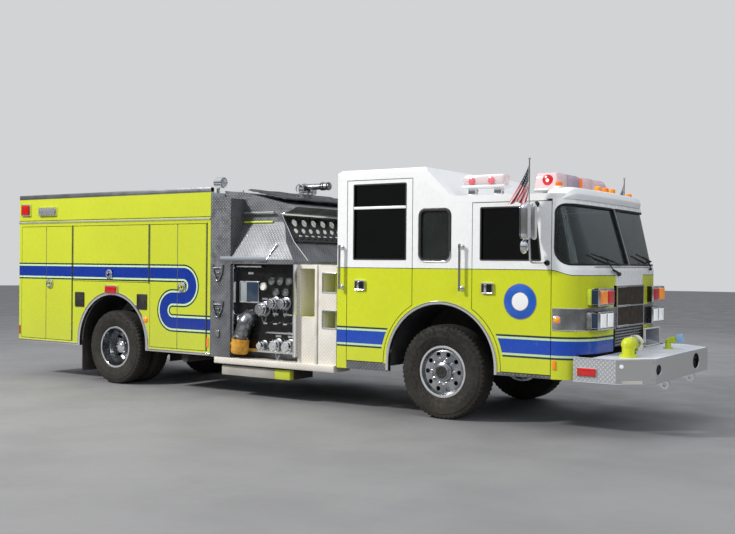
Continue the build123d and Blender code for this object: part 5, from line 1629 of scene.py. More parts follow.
    def deck_fittings(self) -> None:
        """Dress the deck's intake elbow with collars, a pale lugged cap and its ring, and the far fitting."""
        x, z = at(2.07), 0.94
        centre = (x, -0.720, z)
        cap = lathe([(-0.006, 0), (-0.006, 0.086), (0.006, 0.092), (0.040, 0.092), (0.046, 0.086),
                     (0.046, 0.050), (0.052, 0.046), (0.052, 0)], centre, (0, 1, 0), 40)
        make("deck_cap", cap, PANEL_WHITE, "chassis")
        lug = box((x - 0.012, -0.716, 1.028), (x + 0.012, -0.684, 1.062), 0.004)
        make("deck_cap_lugs", lug.spun((0, 1, 0), centre, 4), NICKEL, "chassis")
        collars = joined(*(lathe([(-w, r - 0.012), (-w, r), (w, r), (w, r - 0.012)], (x, y, z), (0, 1, 0),
                                 36) for y, w, r in ((-0.775, 0.012, 0.088), (-0.80, 0.008, 0.078))))
        make("deck_collars", collars, CHROME, "chassis")
        foot = joined(lathe([(0, 0.055), (0.012, 0.055), (0.016, 0.034), (0.09, 0.034)],
                            (at(2.065), 0.455, 0.811), (0, 0, 1), 28),
                      bar((at(2.055), 0.455, 0.895), (at(2.17), 0.455, 0.925), 0.036, 20))
        make("far_fitting_foot", foot, PLAIN_LIME, "chassis")
        make("far_fitting_cap", bar((at(2.165), 0.455, 0.924), (at(2.235), 0.455, 0.942), 0.050, 24, 0.008),
             PALE_BLUE, "chassis")


@dataclass
class RoofLights:
    """The roof's front brow, the wide light bar, the side bars and the clearance lamps."""

    clearance: tuple = ((1.33, -1.016), (1.43, -0.141), (1.435, 0.079), (1.43, 0.306), (1.33, 1.158))
    bar_x: tuple = (0.925, 1.21)
    bar_z: tuple = (2.575, 2.785)
    bar_half: float = 0.77

    def build(self) -> None:
        """Make them all; the CAD bars are replaced by cases with lenses."""
        self.brow()
        self.wide_bar()
        self.side_bars()
        self.clearance_lamps()

    def brow(self) -> None:
        """Swell the roof's front edge.

        The section stands on the skin's eave line. Its height falls to nothing at both ends by one less the
        sixteenth power of the distance across over its half width.
        """
        section = rounded([(-0.012, -0.004), (0.016, 0.0), (0.024, 0.060), (-0.012, 0.128), (-0.10, 0.144),
                           (-0.27, 0.146), (-0.31, 0.04)], [0, 0.006, 0.03, 0.04, 0.03, 0.03, 0],
                          5, closed=False)
        half, eave = 1.19, 2.464
        y = np.linspace(-half, half, 81)
        swell = 1 - (np.abs(y) / half) ** 16
        line = SKIN.at_y(y, np.full(81, eave))
        x = line[:, None, 0] + section[None, :, 0] * swell[:, None] ** 0.3
        z = eave + section[None, :, 1] * swell[:, None]
        points = np.stack([x, np.broadcast_to(y[:, None], x.shape), z], -1)
        make("roof_brow", grid(points), ROOF_WHITE, "cab", crease=180)

    def wide_bar(self) -> None:
        """Make the front bar: a tray, domes with a sloped far end, and the beacons that show in them."""
        low, high = (at(x) for x in self.bar_x)
        tray = box((low, -self.bar_half, self.bar_z[0]), (high, self.bar_half, self.bar_z[0] + 0.04), 0.012)
        foot = box((at(0.98), -0.64, 2.528), (at(1.14), -0.56, 2.58), 0.006)
        feet = foot.repeated([(0, 0, 0), (0, 1.2, 0)])
        make("wide_bar_tray", joined(tray, feet), SATIN, "cab", ("light_bars",))
        base, top = self.bar_z[0] + 0.035, self.bar_z[1]
        middle = (low + high) / 2
        spans = ((-self.bar_half, -0.475, 0.03, 0.0, PINK), (-0.47, -0.115, 0.0, 0.0, LAVENDER),
                 (-0.025, 0.30, 0.0, 0.0, PINK), (0.305, self.bar_half, 0.0, 0.16, PINK))
        for number, (start, end, lean_start, lean_end, finish) in enumerate(spans):
            foot = rectangle(high - low - 0.01, end - start, 0.025, (middle, (start + end) / 2))
            crown_y = foot[:, 1] + np.where(foot[:, 1] < (start + end) / 2, lean_start, -lean_end)
            crown = np.stack([middle + (foot[:, 0] - middle) * 0.86, crown_y], 1)
            loops = [np.column_stack([foot * (1 - d) + crown * d,
                                      np.full(len(foot), base + (top - base) * h)])
                     for h, d in ((0.0, 0.0), (0.35, 0.08), (0.7, 0.25), (0.92, 0.6), (1.0, 1.0))]
            make(f"wide_bar_dome_{number}", loft(np.stack(loops)), finish, "cab")
        block = box((low + 0.03, -0.11, base), (high - 0.012, -0.03, top - 0.012), 0.012)
        make("wide_bar_centre", block, AMBER, "cab")
        spot = (middle + 0.02, -self.bar_half + 0.012, 2.70)
        beacon = lathe([(0.0, 0.066), (0.006, 0.066), (0.014, 0.050), (0.020, 0.0)], spot, (0, -1, 0), 28)
        make("wide_bar_beacon", beacon, RED, "cab")
        core = lathe([(0.016, 0.022), (0.024, 0.014), (0.026, 0.0)], spot, (0, -1, 0), 16)
        make("wide_bar_beacon_core", core, HEADLAMP, "cab")

    def side_bars(self) -> None:
        """Make the short bars over the sides, each with two beacons under a pale dome."""
        low, high, inner, outer = at(0.25), at(0.78), -1.050, -1.215
        tray = box((low, outer, 2.605), (high, inner, 2.64), 0.008)
        foot = box((at(0.31), -1.17, 2.528), (at(0.40), -1.09, 2.61), 0.008)
        pair("side_bar_tray", tray, ROOF_WHITE, "cab")
        pair("side_bar_feet", foot.repeated([(0, 0, 0), (0.32, 0, 0)]), CHROME, "cab")
        dome = slab(rectangle(high - low - 0.01, inner - outer - 0.008, 0.04,
                              ((low + high) / 2, (outer + inner) / 2)), top_plane(0), 2.635, 2.758, 0.035, 5)
        pair("side_bar_dome", dome, MILKY, "cab")
        face = lathe([(0, 0.042), (0.004, 0.042), (0.008, 0.030), (0.010, 0.0)], (0, 0, 0), (0, -1, 0), 24)
        pair("side_bar_beacons", face.repeated([(at(0.38), outer + 0.002, 2.685),
                                                (at(0.62), outer + 0.002, 2.685)]), RED_PALE, "cab")

    def clearance_lamps(self) -> None:
        """Set five amber lamps on low raised feet along the brow."""
        lamp = slab(rectangle(0.055, 0.10, 0.02), top_plane(0), 0.072, 0.134, 0.02, 4)
        foot = slab(rectangle(0.085, 0.135, 0.03), top_plane(0), 0.040, 0.080, 0.012)
        places = [(at(x), y, 2.53) for x, y in self.clearance]
        make("clearance_lamps", lamp.repeated(places), AMBER, "cab")
        make("clearance_feet", foot.repeated(places), ROOF_WHITE, "cab")


@dataclass
class PumpModule:
    """The pump module's dress: hood trim, console gauges, panel fittings, brackets, rails, cover and walkway.

    Attributes:
        panel_y: How far out the side panels stand.
        panel: Their rear and front ends ahead of the front axle, and their bottom and top.
        slope_foot: The console slope's lower end, ahead of the front axle and up.
        slope_head: Its upper end.
        hood: The hood lip's rear and front ends, and its height.
        caps: Rows of place along, height and radius for the outlets on the side panels.
    """

    panel_y: float = 1.10
    panel: tuple = (-3.155, -2.10, 0.60, 1.74)
    slope_foot: tuple = (-2.304, 2.034)
    slope_head: tuple = (-2.494, 2.376)
    hood: tuple = (-3.16, -2.62, 1.80)
    caps: tuple = ((-2.68, 1.16, 0.070), (-2.50, 1.24, 0.055), (-2.33, 1.24, 0.055), (-2.45, 0.70, 0.062),
                   (-2.68, 0.69, 0.040), (-2.25, 0.70, 0.062))

    def build(self) -> None:
        """Dress the module and add its pieces."""
        # The house takes the aluminium plate darkened as in shade: painted shade.
        dress(PLATE, "pump_house")
        # The walkway takes the aluminium plate painted near white as in full sun: painted light.
        dress(SUNLIT_PLATE, "walkway")
        dress(BLACK, "pump_panels")
        dress(FITTING, "pump_fittings")
        dress(NICKEL, "monitor_fork", "monitor_barrel")
        dress(CHROME, "hand_rails")
        self.hood_trim()
        self.console()
        self.side_panels()
        self.outlets()
        self.intake()
        self.brackets()
        self.cover()
        self.walkway()
        self.monitor()

    def hood_trim(self) -> None:
        """Edge the hood with a bright folded lip, a lime rub line above and trim down the console's side."""
        low, high, z = self.hood
        lip = sweep(np.array([(at(low - 0.17), -HALF_WIDTH, z), (at(high + 0.07), -HALF_WIDTH, z)]),
                    np.array([(-0.004, -0.035), (0.010, -0.035), (0.014, -0.028), (0.014, 0.030),
                              (0.002, 0.040), (-0.004, 0.036)]), (0, -1, 0))
        rise = np.array([(at(high + 0.065), -HALF_WIDTH - 0.006, z - 0.01),
                         (at(high + 0.165), -HALF_WIDTH + 0.085, z + 0.20)])
        edge = sweep(rise, rectangle(0.016, 0.016, 0.004), (0, -1, 0.4))
        pair("hood_lip", joined(lip, edge), CHROME, "chassis", crease=50)
        line = bar((at(-3.15), -0.975, 2.292), (at(-2.66), -0.975, 2.292), 0.014, 8)
        pair("hood_rub_line", line, PLAIN_LIME, "chassis")
        side = [(at(-2.53), -0.968, 2.392), (at(-2.326), -0.968, 2.026), (at(-2.10), -0.968, 1.786)]
        trim = sweep(rounded(side, 0.03, 3, closed=False), rectangle(0.022, 0.030, 0.006), (0, -1, 0))
        pair("console_side_trim", trim, CHROME, "chassis", crease=50)

    def console(self) -> None:
        """Set the gauges, the pull handles and the header rail on the sloping console."""
        foot, head = np.array(self.slope_foot), np.array(self.slope_head)
        way = unit((head - foot)[None])[0]
        plane = Plane((at(foot[0]), 0, foot[1]), (0, 1, 0), (way[0], 0, way[1]))
        out = np.cross(plane.u, plane.v)
        spots = [(y, 0.275, 0.052) for y in np.linspace(-0.82, 0.82, 9)]
        spots += [(y, 0.155, 0.038) for y in np.linspace(-0.86, 0.86, 12)]
        faces, rims = [], []
        for y, up, radius in spots:
            centre = tuple(plane.place(np.array([y, up])))
            faces.append(lathe([(0.006, 0), (0.006, radius * 0.84), (0.010, radius * 0.82), (0.0105, 0)],
                               centre, tuple(out), 20))
            rims.append(lathe([(0, radius), (0.010, radius), (0.014, radius * 0.92), (0.009, radius * 0.82)],
                              centre, tuple(out), 20))
        make("console_gauge_faces", joined(*faces), DIAL, "chassis")
        make("console_gauge_rims", joined(*rims), CHROME, "chassis")
        grip = slab(rectangle(0.062, 0.022, 0.008), plane, 0.030, 0.048, 0.006, 2)
        stem = slab(circle(0.006, 8), plane, 0.0, 0.034)
        y = np.linspace(-0.86, 0.86, 14)
        offsets = plane.place(np.stack([y, np.full(14, 0.06)], 1)) - plane.place(np.zeros(2))
        make("console_pull_handles", joined(grip, stem).repeated(offsets), CHROME, "chassis")
        header = box((at(-2.56), -0.97, 2.372), (at(-2.47), 0.97, 2.405), 0.01)
        make("console_header", header, CHROME, "chassis")

    def side_panels(self) -> None:
        """Frame each panel, and add its strips, a framed square plate and rows of small controls."""
        low, high, bottom, top = self.panel
        plane = side_plane(self.panel_y)
        out = -self.panel_y
        posts = [box((at(low) - 0.004, -1.20, bottom), (at(low) + 0.018, out, top), 0.003),
                 box((at(high) - 0.020, -1.232, bottom - 0.02), (at(high) + 0.004, out, top), 0.003),
                 box((at(-2.66), out - 0.012, 0.850), (at(high), out, 0.872), 0.003),
                 box((at(low), out - 0.016, bottom), (at(high), out, bottom + 0.045), 0.004)]
        pair("panel_frame", joined(*posts), CHROME, "chassis")
        for name, centre, width, finish in (("gauge_box", -2.885, 0.19, NAVY_GLASS),
                                            ("gauge_box_side", -3.035, 0.105, GREY_PAINT)):
            pair(name, slab(rectangle(width, 0.25, 0.01, (at(centre), 1.375)), plane, 0.0, 0.012, 0.003),
                 finish, "chassis")
        rim = band(rectangle(0.32, 0.27, 0.012, (at(-2.94), 1.375)), plane,
                   [(-0.01, 0), (0.006, 0), (0.006, 0.014), (-0.004, 0.018), (-0.01, 0.014)])
        pair("gauge_box_rim", rim, CHROME, "chassis", crease=50)
        ring = lathe([(0, 0.050), (0.022, 0.050), (0.028, 0.044), (0.022, 0.040)], (0, 0, 0), count=28)
        face = lathe([(0.0, 0), (0.0, 0.044), (0.018, 0.042), (0.019, 0)], (0, 0, 0), count=28)
        dial = joined(ring, face)
        places = [(at(x), out, z) for x, z in ((-2.70, 1.45), (-2.56, 1.52), (-2.42, 1.52), (-2.28, 1.52),
                                                         (-2.49, 1.38), (-2.33, 1.38))]
        pair("panel_gauge", dial.repeated(places[:1]), DIAL, "chassis")
        pair("panel_gauges", dial.repeated(places[1:]), GREY_DIAL, "chassis")
        lever = joined(bar((0, 0, 0), (0, -0.075, 0.0), 0.008, 8),
                       bar((-0.03, -0.078, 0), (0.03, -0.078, 0), 0.011, 10))
        spots = [(at(x), out, z) for x, z in ((-2.60, 0.98), (-2.44, 0.98), (-2.28, 0.98), (-2.20, 1.10),
                                                        (-2.95, 0.80))]
        pair("panel_levers", lever.repeated(spots), CHROME, "chassis")
        tag = slab(rectangle(0.09, 0.028, 0.004), plane, 0.0, 0.003)
        tags = tag.repeated([(at(x), 0, z) for x, z in ((-2.50, 1.10), (-2.33, 1.10), (-2.45, 0.82),
                                                        (-2.25, 0.82), (-2.92, 1.62), (-2.68, 1.29))])
        pair("panel_blank_tags", tags, SATIN, "chassis", crease=20)

    def cap(self, x: float, z: float, radius: float) -> Shape:
        """Give a capped outlet: a collar, a ribbed cap and two ears."""
        out = self.panel_y + 0.11
        centre = (at(x), 0, z)
        body = lathe([(out - 0.055, radius + 0.006), (out - 0.040, radius + 0.012),
                      (out - 0.030, radius + 0.012), (out - 0.024, radius + 0.004),
                      (out + 0.012, radius + 0.004), (out + 0.020, radius - 0.006),
                      (out + 0.020, radius * 0.5), (out + 0.026, radius * 0.42), (out + 0.026, 0)],
                     centre, count=28)
        ear = box((at(x) - 0.009, -out - 0.012, z + radius),
                  (at(x) + 0.009, -out + 0.014, z + radius + 0.020), 0.003, 1)
        return joined(body, ear.spun((0, 1, 0), centre, 2))

    def outlets(self) -> None:
        """Cap every outlet, with a flange behind it, and hang a keeper chain below each of the first four."""
        pair("outlet_caps", joined(*(self.cap(*row) for row in self.caps)), CHROME, "chassis")
        flanges = [lathe([(0, radius + 0.028), (0.008, radius + 0.028), (0.014, radius + 0.016),
                          (0.016, radius)], (at(x), -self.panel_y, z), count=28)
                   for x, z, radius in self.caps]
        pair("outlet_flanges", joined(*flanges), NICKEL, "chassis")
        turn = np.arange(10) * TURN / 10
        link = np.stack([0.006 * np.cos(turn), 0 * turn, 0.010 * np.sin(turn)], 1)
        one = tube(link, 0.0018, 5, closed=True)
        s = np.linspace(0, 1, 16)
        rows = []
        for x, z, radius in self.caps[:4]:
            drop = 0.11 * (1 - (2 * s - 1) ** 2)
            rows.append(np.stack([at(x) + radius * (s * 1.3 - 0.1), np.full(16, -self.panel_y - 0.06),
                                  z - radius * 0.9 - drop], 1))
        links = [one.turned((0, 0, 1), 90 * (n % 2)).moved(*p) for row in rows for n, p in enumerate(row)]
        pair("keeper_chains", joined(*links), CHROME, "chassis")

    def intake(self) -> None:
        """Dress the large intake: a lugged coupling above, a lugged ring and a gold cap below."""
        x, z = at(-2.96), 1.01
        collar = lathe([(self.panel_y, 0.118), (self.panel_y + 0.02, 0.122), (self.panel_y + 0.034, 0.110),
                        (self.panel_y + 0.044, 0.098)], (x, 0, z), count=40)
        lug = box((x - 0.013, -self.panel_y - 0.03, z + 0.112),
                  (x + 0.013, -self.panel_y - 0.008, z + 0.136), 0.004, 1)
        pair("intake_coupling", joined(collar, lug.spun((0, 1, 0), (x, 0, z), 6)), NICKEL, "chassis")
        elbow = np.array((at(-2.90), -self.panel_y - 0.09, 1.04))
        foot, way = (at(-3.014), -self.panel_y - 0.096, 0.690), (-0.10, 0, -1)
        bend = rounded([(x + 0.06, -self.panel_y, 1.05), elbow, (at(-3.005), elbow[1], 0.79)], 0.10,
                       8, closed=False)
        pair("intake_elbow", tube(bend, 0.1005, 32), NICKEL, "chassis")
        ring = lathe([(-0.125, 0.082), (-0.118, 0.112), (-0.092, 0.112), (-0.086, 0.106)], foot, way, 40)
        cap = lathe([(-0.078, 0.108), (-0.074, 0.114), (0.055, 0.117), (0.100, 0.113), (0.118, 0.098),
                     (0.122, 0.030), (0.130, 0.026), (0.130, 0)], foot, way, 40)
        ear = box((-0.013, 0.108, -0.012), (0.013, 0.132, 0.012), 0.004, 1).moved(foot[0], foot[1], foot[2])
        pair("intake_ring", joined(ring, ear.moved(0.02, 0, 0.095).spun(way, foot, 4)), NICKEL, "chassis")
        pair("intake_gold_cap", joined(cap, ear.spun(way, foot, 3)), GOLD, "chassis")
        knob = joined(bar((at(-2.98), -1.14, 1.03), (at(-3.055), -1.14, 1.025), 0.018, 10),
                      lathe([(0, 0.05), (0.008, 0.062), (0.020, 0.062), (0.028, 0.05), (0.028, 0)],
                            (at(-3.050), -1.14, 1.025), (-1, 0, 0), 20))
        pair("intake_relief_knob", knob, CHROME, "chassis")

    def brackets(self) -> None:
        """Fix two forked spanner brackets and a latch on the column's tread plate."""
        rods = []
        for z in (1.60, 1.12):
            fork = [(at(-3.46), -1.25, z + 0.13), (at(-3.44), -1.25, z + 0.02), (at(-3.37), -1.25, z - 0.12),
                    (at(-3.30), -1.25, z + 0.02), (at(-3.28), -1.25, z + 0.13)]
            rods.append(tube(rounded(fork, 0.03, 4, closed=False), 0.010, 8))
            rods.append(bar((at(-3.44), -1.252, z + 0.085), (at(-3.30), -1.252, z + 0.085), 0.008, 8))
            rods.append(box((at(-3.40), -1.252, z - 0.03), (at(-3.34), -1.236, z + 0.03), 0.004))
        rods.append(box((at(-3.40), -1.254, 0.77), (at(-3.34), -1.236, 0.86), 0.006))
        pair("spanner_brackets", joined(*rods), NICKEL, "chassis")

    def cover(self) -> None:
        """Stretch a vinyl cover over the hose trays on top: a sheet that sags between its edges.

        Its height follows the module's sloping top, less a sag that is greatest in the middle, plus small
        creases across it.
        """
        u, v = np.meshgrid(np.linspace(0, 1, 40), np.linspace(0, 1, 48), indexing="ij")
        x = at(-3.14) + 0.66 * u
        y = -0.93 + 1.86 * v
        z = 2.712 - 0.135 * u + 0.03 - 0.018 * np.sin(np.pi * v) * np.sin(np.pi * u)
        z = z + 0.004 * np.sin(22 * v + 3 * u) * np.sin(np.pi * v) + 0.003 * np.sin(31 * u)
        edge = np.minimum(np.minimum(u, 1 - u) / 0.03, np.minimum(v, 1 - v) / 0.02)
        z = z - 0.022 * np.clip(1 - edge, 0, 1) ** 2
        piece = make("tray_cover", grid(np.stack([x, y, z], -1), uv=True), VINYL, "chassis", crease=180)
        thicken(piece, 0.002)

    def walkway(self) -> None:
        """Dress the walkway: lime cubby backs, white posts, step treads and the board's edge, in plate
        painted near white as in full sun.
        """
        back = box((at(-2.068), -0.756, 1.092), (at(-1.792), -0.750, 1.688), 0.0)
        pair("cubby_back", back, PLAIN_LIME, "chassis")
        pair("cubby_floor", box((at(-2.068), -1.148, 1.0895), (at(-1.792), -0.756, 1.094), 0.0),
             PLAIN_LIME, "chassis")
        post = box((at(-1.80), -1.205, 0.515), (at(-1.765), -1.150, 1.735), 0.006)
        pair("walkway_post", post, PANEL_WHITE, "chassis")
        holes = ((1.40, 1.64), (0.96, 1.18))
        ring = [(-0.008, 0), (0.010, 0), (0.010, 0.004), (-0.002, 0.008), (-0.008, 0.004)]
        frames = [band(rectangle(0.205, high - low, 0.008, (at(-1.5825), (low + high) / 2)),
                       side_plane(1.19), ring) for low, high in holes]
        pair("step_frames", joined(*frames), CHROME, "chassis", crease=50)
        backs = [box((at(-1.688), -0.946, low + 0.002), (at(-1.477), -0.941, high - 0.002))
                 for low, high in holes]
        pair("step_backs", joined(*backs), PLAIN_LIME, "chassis")
        edge = box((at(-3.43), -HALF_WIDTH - 0.006, 0.437), (at(-1.475), -HALF_WIDTH + 0.004, 0.512), 0.004)
        pair("board_edge", edge, SUNLIT_PLATE, "chassis")
        pair("under_box_face", box((at(-3.342), -1.184, 0.279), (at(-2.45), -1.10, 0.402), 0.006),
             OLD_WHITE, "chassis")
        pair("under_box_lime", box((at(-2.448), -1.183, 0.279), (at(-2.198), -1.10, 0.402), 0.006),
             PLAIN_LIME, "chassis")

    def monitor(self) -> None:
        """Finish the deck monitor: a ribbed base ring, a stream tip and a hand wheel."""
        x = at(-2.90)
        base = lathe([(2.702, 0.095), (2.712, 0.098), (2.722, 0.094), (2.726, 0.074)],
                     (x, 0, 0), (0, 0, 1), 32)
        make("monitor_base_ring", base, CHROME, "monitor_fork")
        tip = joined(*(lathe([(r, 0.050), (r + 0.006, 0.056), (r + 0.016, 0.056), (r + 0.022, 0.050)],
                             (x, 0, 2.815), (1, 0, 0), 28) for r in (0.29, 0.33, 0.40)))
        make("monitor_tip_rings", tip, SEAL, "monitor_barrel")
        turn = np.arange(24) * TURN / 24
        rim = np.stack([x + 0.06 * np.cos(turn), np.full(24, -0.115), 2.79 + 0.06 * np.sin(turn)], 1)
        wheel = joined(tube(rim, 0.008, 8, closed=True), bar((x, -0.078, 2.79), (x, -0.122, 2.79), 0.010, 8),
                       bar((x - 0.058, -0.115, 2.79), (x + 0.058, -0.115, 2.79), 0.005, 6))
        make("monitor_hand_wheel", wheel, CHROME, "monitor_fork")


@dataclass
class RearBody:
    """The rear body's dress: rails, latches, lamps, markers, arch trim and liners, and the tail.

    Attributes:
        ends: The body's rear and front ends ahead of the front axle.
        arch: The wheel arch's centre, ahead of the front axle and up.
        bed: Half the width of the recess at the tail.
        board: The height of the step in the recess.
        latches: Rows of the door's letter, place along and height.
        lamps: Rows of name, place along, height, width, depth up and finish.
    """

    ends: tuple = (-7.517, -3.513)
    arch: tuple = (-5.41, 0.59)
    arch_radius: float = 0.69
    bed: float = 0.57
    board: float = 0.58
    latches: tuple = (("b", -6.779, 1.415), ("c", -5.47, 1.57), ("e", -4.024, 1.415))
    lamps: tuple = (("tail_flasher", -7.345, 2.53, 0.21, 0.18, "red"),
                    ("scene_light", -6.835, 2.50, 0.40, 0.13, "clear"),
                    ("arch_flasher", -5.417, 1.35, 0.25, 0.13, "red"))

    def build(self) -> None:
        """Dress the body and add its pieces."""
        dress(BODY_PAINT, *(f"body_side_{s.word}" for s in Side),
              *(f"body_door_{d}_{s.word}" for d in "abcde" for s in Side))
        dress(SATIN, "hose_bed")
        dress(CHROME, "body_lamps")
        self.rails()
        self.arches()
        self.door_latches()
        self.side_lamps()
        self.markers()
        self.spotlights()
        self.tail()

    def rails(self) -> None:
        """Run the drip rail, the bright cap, the bottom rub rail, and black strips painted as the shadow in
        the gaps between the bays.
        """
        low, high = (at(x) for x in self.ends)
        out = -HALF_WIDTH
        drip = sweep(np.array([(low, out, 2.335), (high, out, 2.335)]),
                     np.array([(-0.002, -0.012), (0.006, -0.014), (0.016, -0.004), (0.016, 0.006),
                               (0.008, 0.012), (-0.002, 0.014)]), (0, -1, 0))
        cap = box((low, out - 0.004, 2.690), (high, out + 0.064, 2.7565), 0.006)
        rub = [box((at(a), out - 0.012, 0.516), (at(b), out + 0.004, 0.552), 0.004)
               for a, b in ((-7.517, -6.105), (-4.715, -3.513))]
        pair("body_bright_rails", joined(drip, *rub), CHROME, "chassis", crease=50)
        pair("body_cap", cap, PLATE, "chassis")
        # The black strips at the bays' edges and along their heads are painted shadow, standing in for the
        # shade in the gaps.
        joints = [box((at(x) - 0.009, out - 0.003, z0), (at(x) + 0.009, out + 0.002, z1)) for x, z0, z1 in
                  ((-6.275, 0.575, 2.285), (-4.665, 1.45, 2.285), (-3.575, 0.575, 2.285))]
        head = box((low, out - 0.003, 2.362), (high, out + 0.002, 2.369))
        pair("body_dark_joints", joined(*joints, head), SEAL, "chassis")

    def arches(self) -> None:
        """Trim the rear arch and line it in black."""
        line, out = arch_path(self.arch, self.arch_radius, (0.52, 0.52))
        section = np.array([(-0.002, -0.045), (-0.002, 0.008), (0.012, 0.014), (0.044, 0.011),
                            (0.048, 0.002), (0.046, 0.0), (0.0, -0.0)])
        pair("rear_arch_trim", sweep(side_plane().place(line), section, out), CHROME, "chassis", crease=50)
        liner = sweep(side_plane(0.85).place(line), rectangle(0.004, 0.66, 0, (-0.004, 0)), out)
        pair("rear_arch_liner", liner, FRAME_PAINT, "chassis", crease=50)

    def door_latches(self) -> None:
        """Set a round plate with a folding ring on every bay's latch."""
        for letter, x, z in self.latches:
            plate = lathe([(0.012, 0.070), (0.016, 0.070), (0.022, 0.064), (0.020, 0.048), (0.014, 0.044),
                           (0.014, 0)], (at(x), -HALF_WIDTH, z), count=40)
            angles = np.linspace(-0.75 * math.pi, 0.75 * math.pi, 25) - math.pi / 2
            arc = np.stack([at(x) + 0.040 * np.cos(angles), np.full(25, -HALF_WIDTH - 0.024),
                            z + 0.040 * np.sin(angles)], 1)
            ring = tube(np.concatenate([arc, arc[:1]]), 0.006, 8)
            pair(f"latch_{letter}", joined(plate, ring), CHROME, f"body_door_{letter}_" + "{side}")
            lock = lathe([(0.013, 0.012), (0.020, 0.012), (0.020, 0)], (at(x), -HALF_WIDTH, z), count=16)
            pair(f"latch_lock_{letter}", lock, SEAL, f"body_door_{letter}_" + "{side}")

    def side_lamps(self) -> None:
        """Cover the lamps' cases with domed lenses."""
        plane = side_plane(HALF_WIDTH + 0.025)
        for name, x, z, width, height, kind in self.lamps:
            lens = slab(rectangle(width - 0.03, height - 0.03, 0.02, (at(x), z)), plane, -0.004,
                        0.020, 0.014, 4)
            pair(f"{name}_lens", lens, RED if kind == "red" else CLEAR, "chassis")
            rim = band(rectangle(width - 0.004, height - 0.004, 0.022, (at(x), z)), plane,
                       [(-0.016, -0.004), (0.002, -0.004), (0.002, 0.002), (-0.004, 0.007), (-0.016, 0.003)])
            pair(f"{name}_rim", rim, CHROME, "chassis", crease=50)
        ribs = box((at(-7.005), -HALF_WIDTH - 0.052, 2.44), (at(-6.995), -HALF_WIDTH - 0.03, 2.56), 0.003)
        pair("scene_light_ribs", ribs.repeated([(d, 0, 0) for d in np.arange(0.03, 0.34, 0.06)]),
             CHROME, "chassis")

    def markers(self) -> None:
        """Add the two dark service flaps, the round marker and the corner reflectors."""
        for name, x in (("rear", -6.105), ("front", -4.80)):
            flap = slab(rectangle(0.20, 0.215, 0.012, (at(x), 1.195)), side_plane(), 0.0, 0.012, 0.004)
            knob = lathe([(0.010, 0.014), (0.020, 0.012), (0.022, 0)],
                         (at(x) + 0.06, -HALF_WIDTH, 1.195), count=16)
            pair(f"{name}_service_flap", joined(flap, knob), FRAME_PAINT, "chassis")
        marker = lathe([(0, 0.040), (0.008, 0.038), (0.014, 0.030), (0.022, 0.016), (0.024, 0)],
                       (at(-4.72), -HALF_WIDTH, 0.95), count=24)
        pair("arch_marker", marker, AMBER, "chassis")
        # The reflectors take the amber and red lamp lenses, whose glow on them is painted light.
        for name, x, finish in (("front_corner_reflector", -3.552, AMBER),
                                ("rear_corner_reflector", -7.492, RED)):
            strip = slab(rectangle(0.032, 0.13, 0.006, (at(x), 0.69)), side_plane(), 0.0, 0.007, 0.002)
            pair(name, strip, finish, "chassis")

    def tail(self) -> None:
        """Plate the recess at the rear, and set tail lamps, grab rails and the hose bed's dividers in it."""
        wall, half = TAIL + 0.35, self.bed - 0.006
        plane = rear_plane(wall)
        panel = slab(rectangle(2 * half, 0.92, 0.004, (0, 1.41)), plane, 0.0, 0.004)
        step = box((TAIL + 0.004, -half, self.board - 0.002), (wall, half, self.board + 0.006), 0.002)
        make("tail_plates", joined(panel, step), PLATE, "chassis")
        for name, z, finish in (("stop", 1.66, RED), ("turn", 1.52, AMBER), ("reverse", 1.38, CLEAR)):
            lens = slab(rectangle(0.15, 0.105, 0.02, (-0.40, z)), plane, 0.004, 0.034, 0.012, 4)
            rim = band(rectangle(0.166, 0.121, 0.024, (-0.40, z)), plane,
                       [(-0.012, 0.002), (0.004, 0.002), (0.004, 0.016), (-0.002, 0.022), (-0.012, 0.018)])
            pair(f"tail_lens_{name}", lens, finish, "chassis")
            pair(f"tail_rim_{name}", rim, CHROME, "chassis", crease=50)
        rail = [(wall, -half + 0.055, 1.05), (wall - 0.075, -half + 0.055, 1.05),
                (wall - 0.075, -half + 0.055, 1.80), (wall, -half + 0.055, 1.80)]
        pair("tail_rail", tube(rounded(rail, 0.04, 5, closed=False), 0.016, 12), CHROME, "chassis")
        divider = box((TAIL + 0.40, -0.004, 1.90), (at(self.ends[1]) - 0.045, 0.004, 2.42), 0.003)
        make("bed_dividers", divider.repeated([(0, -0.22, 0), (0, 0.22, 0)]), SATIN, "chassis")

    def spotlights(self) -> None:
        """Round off the spotlights on the body's front corners with bowls, lenses and rims."""
        x, y, z = at(-3.60), -1.0, 2.83
        bowl = lathe([(-0.045, 0), (-0.040, 0.035), (-0.015, 0.065), (0.02, 0.073), (0.098, 0.0745),
                      (0.106, 0.069), (0.100, 0.062)], (x, y, z), (1, 0, 0), 32)
        pair("spotlight_bowl", bowl, CHROME, "chassis")
        lens = lathe([(0.098, 0.064), (0.104, 0.048), (0.110, 0.0)], (x, y, z), (1, 0, 0), 32)
        pair("spotlight_lens", lens, CLEAR, "chassis")


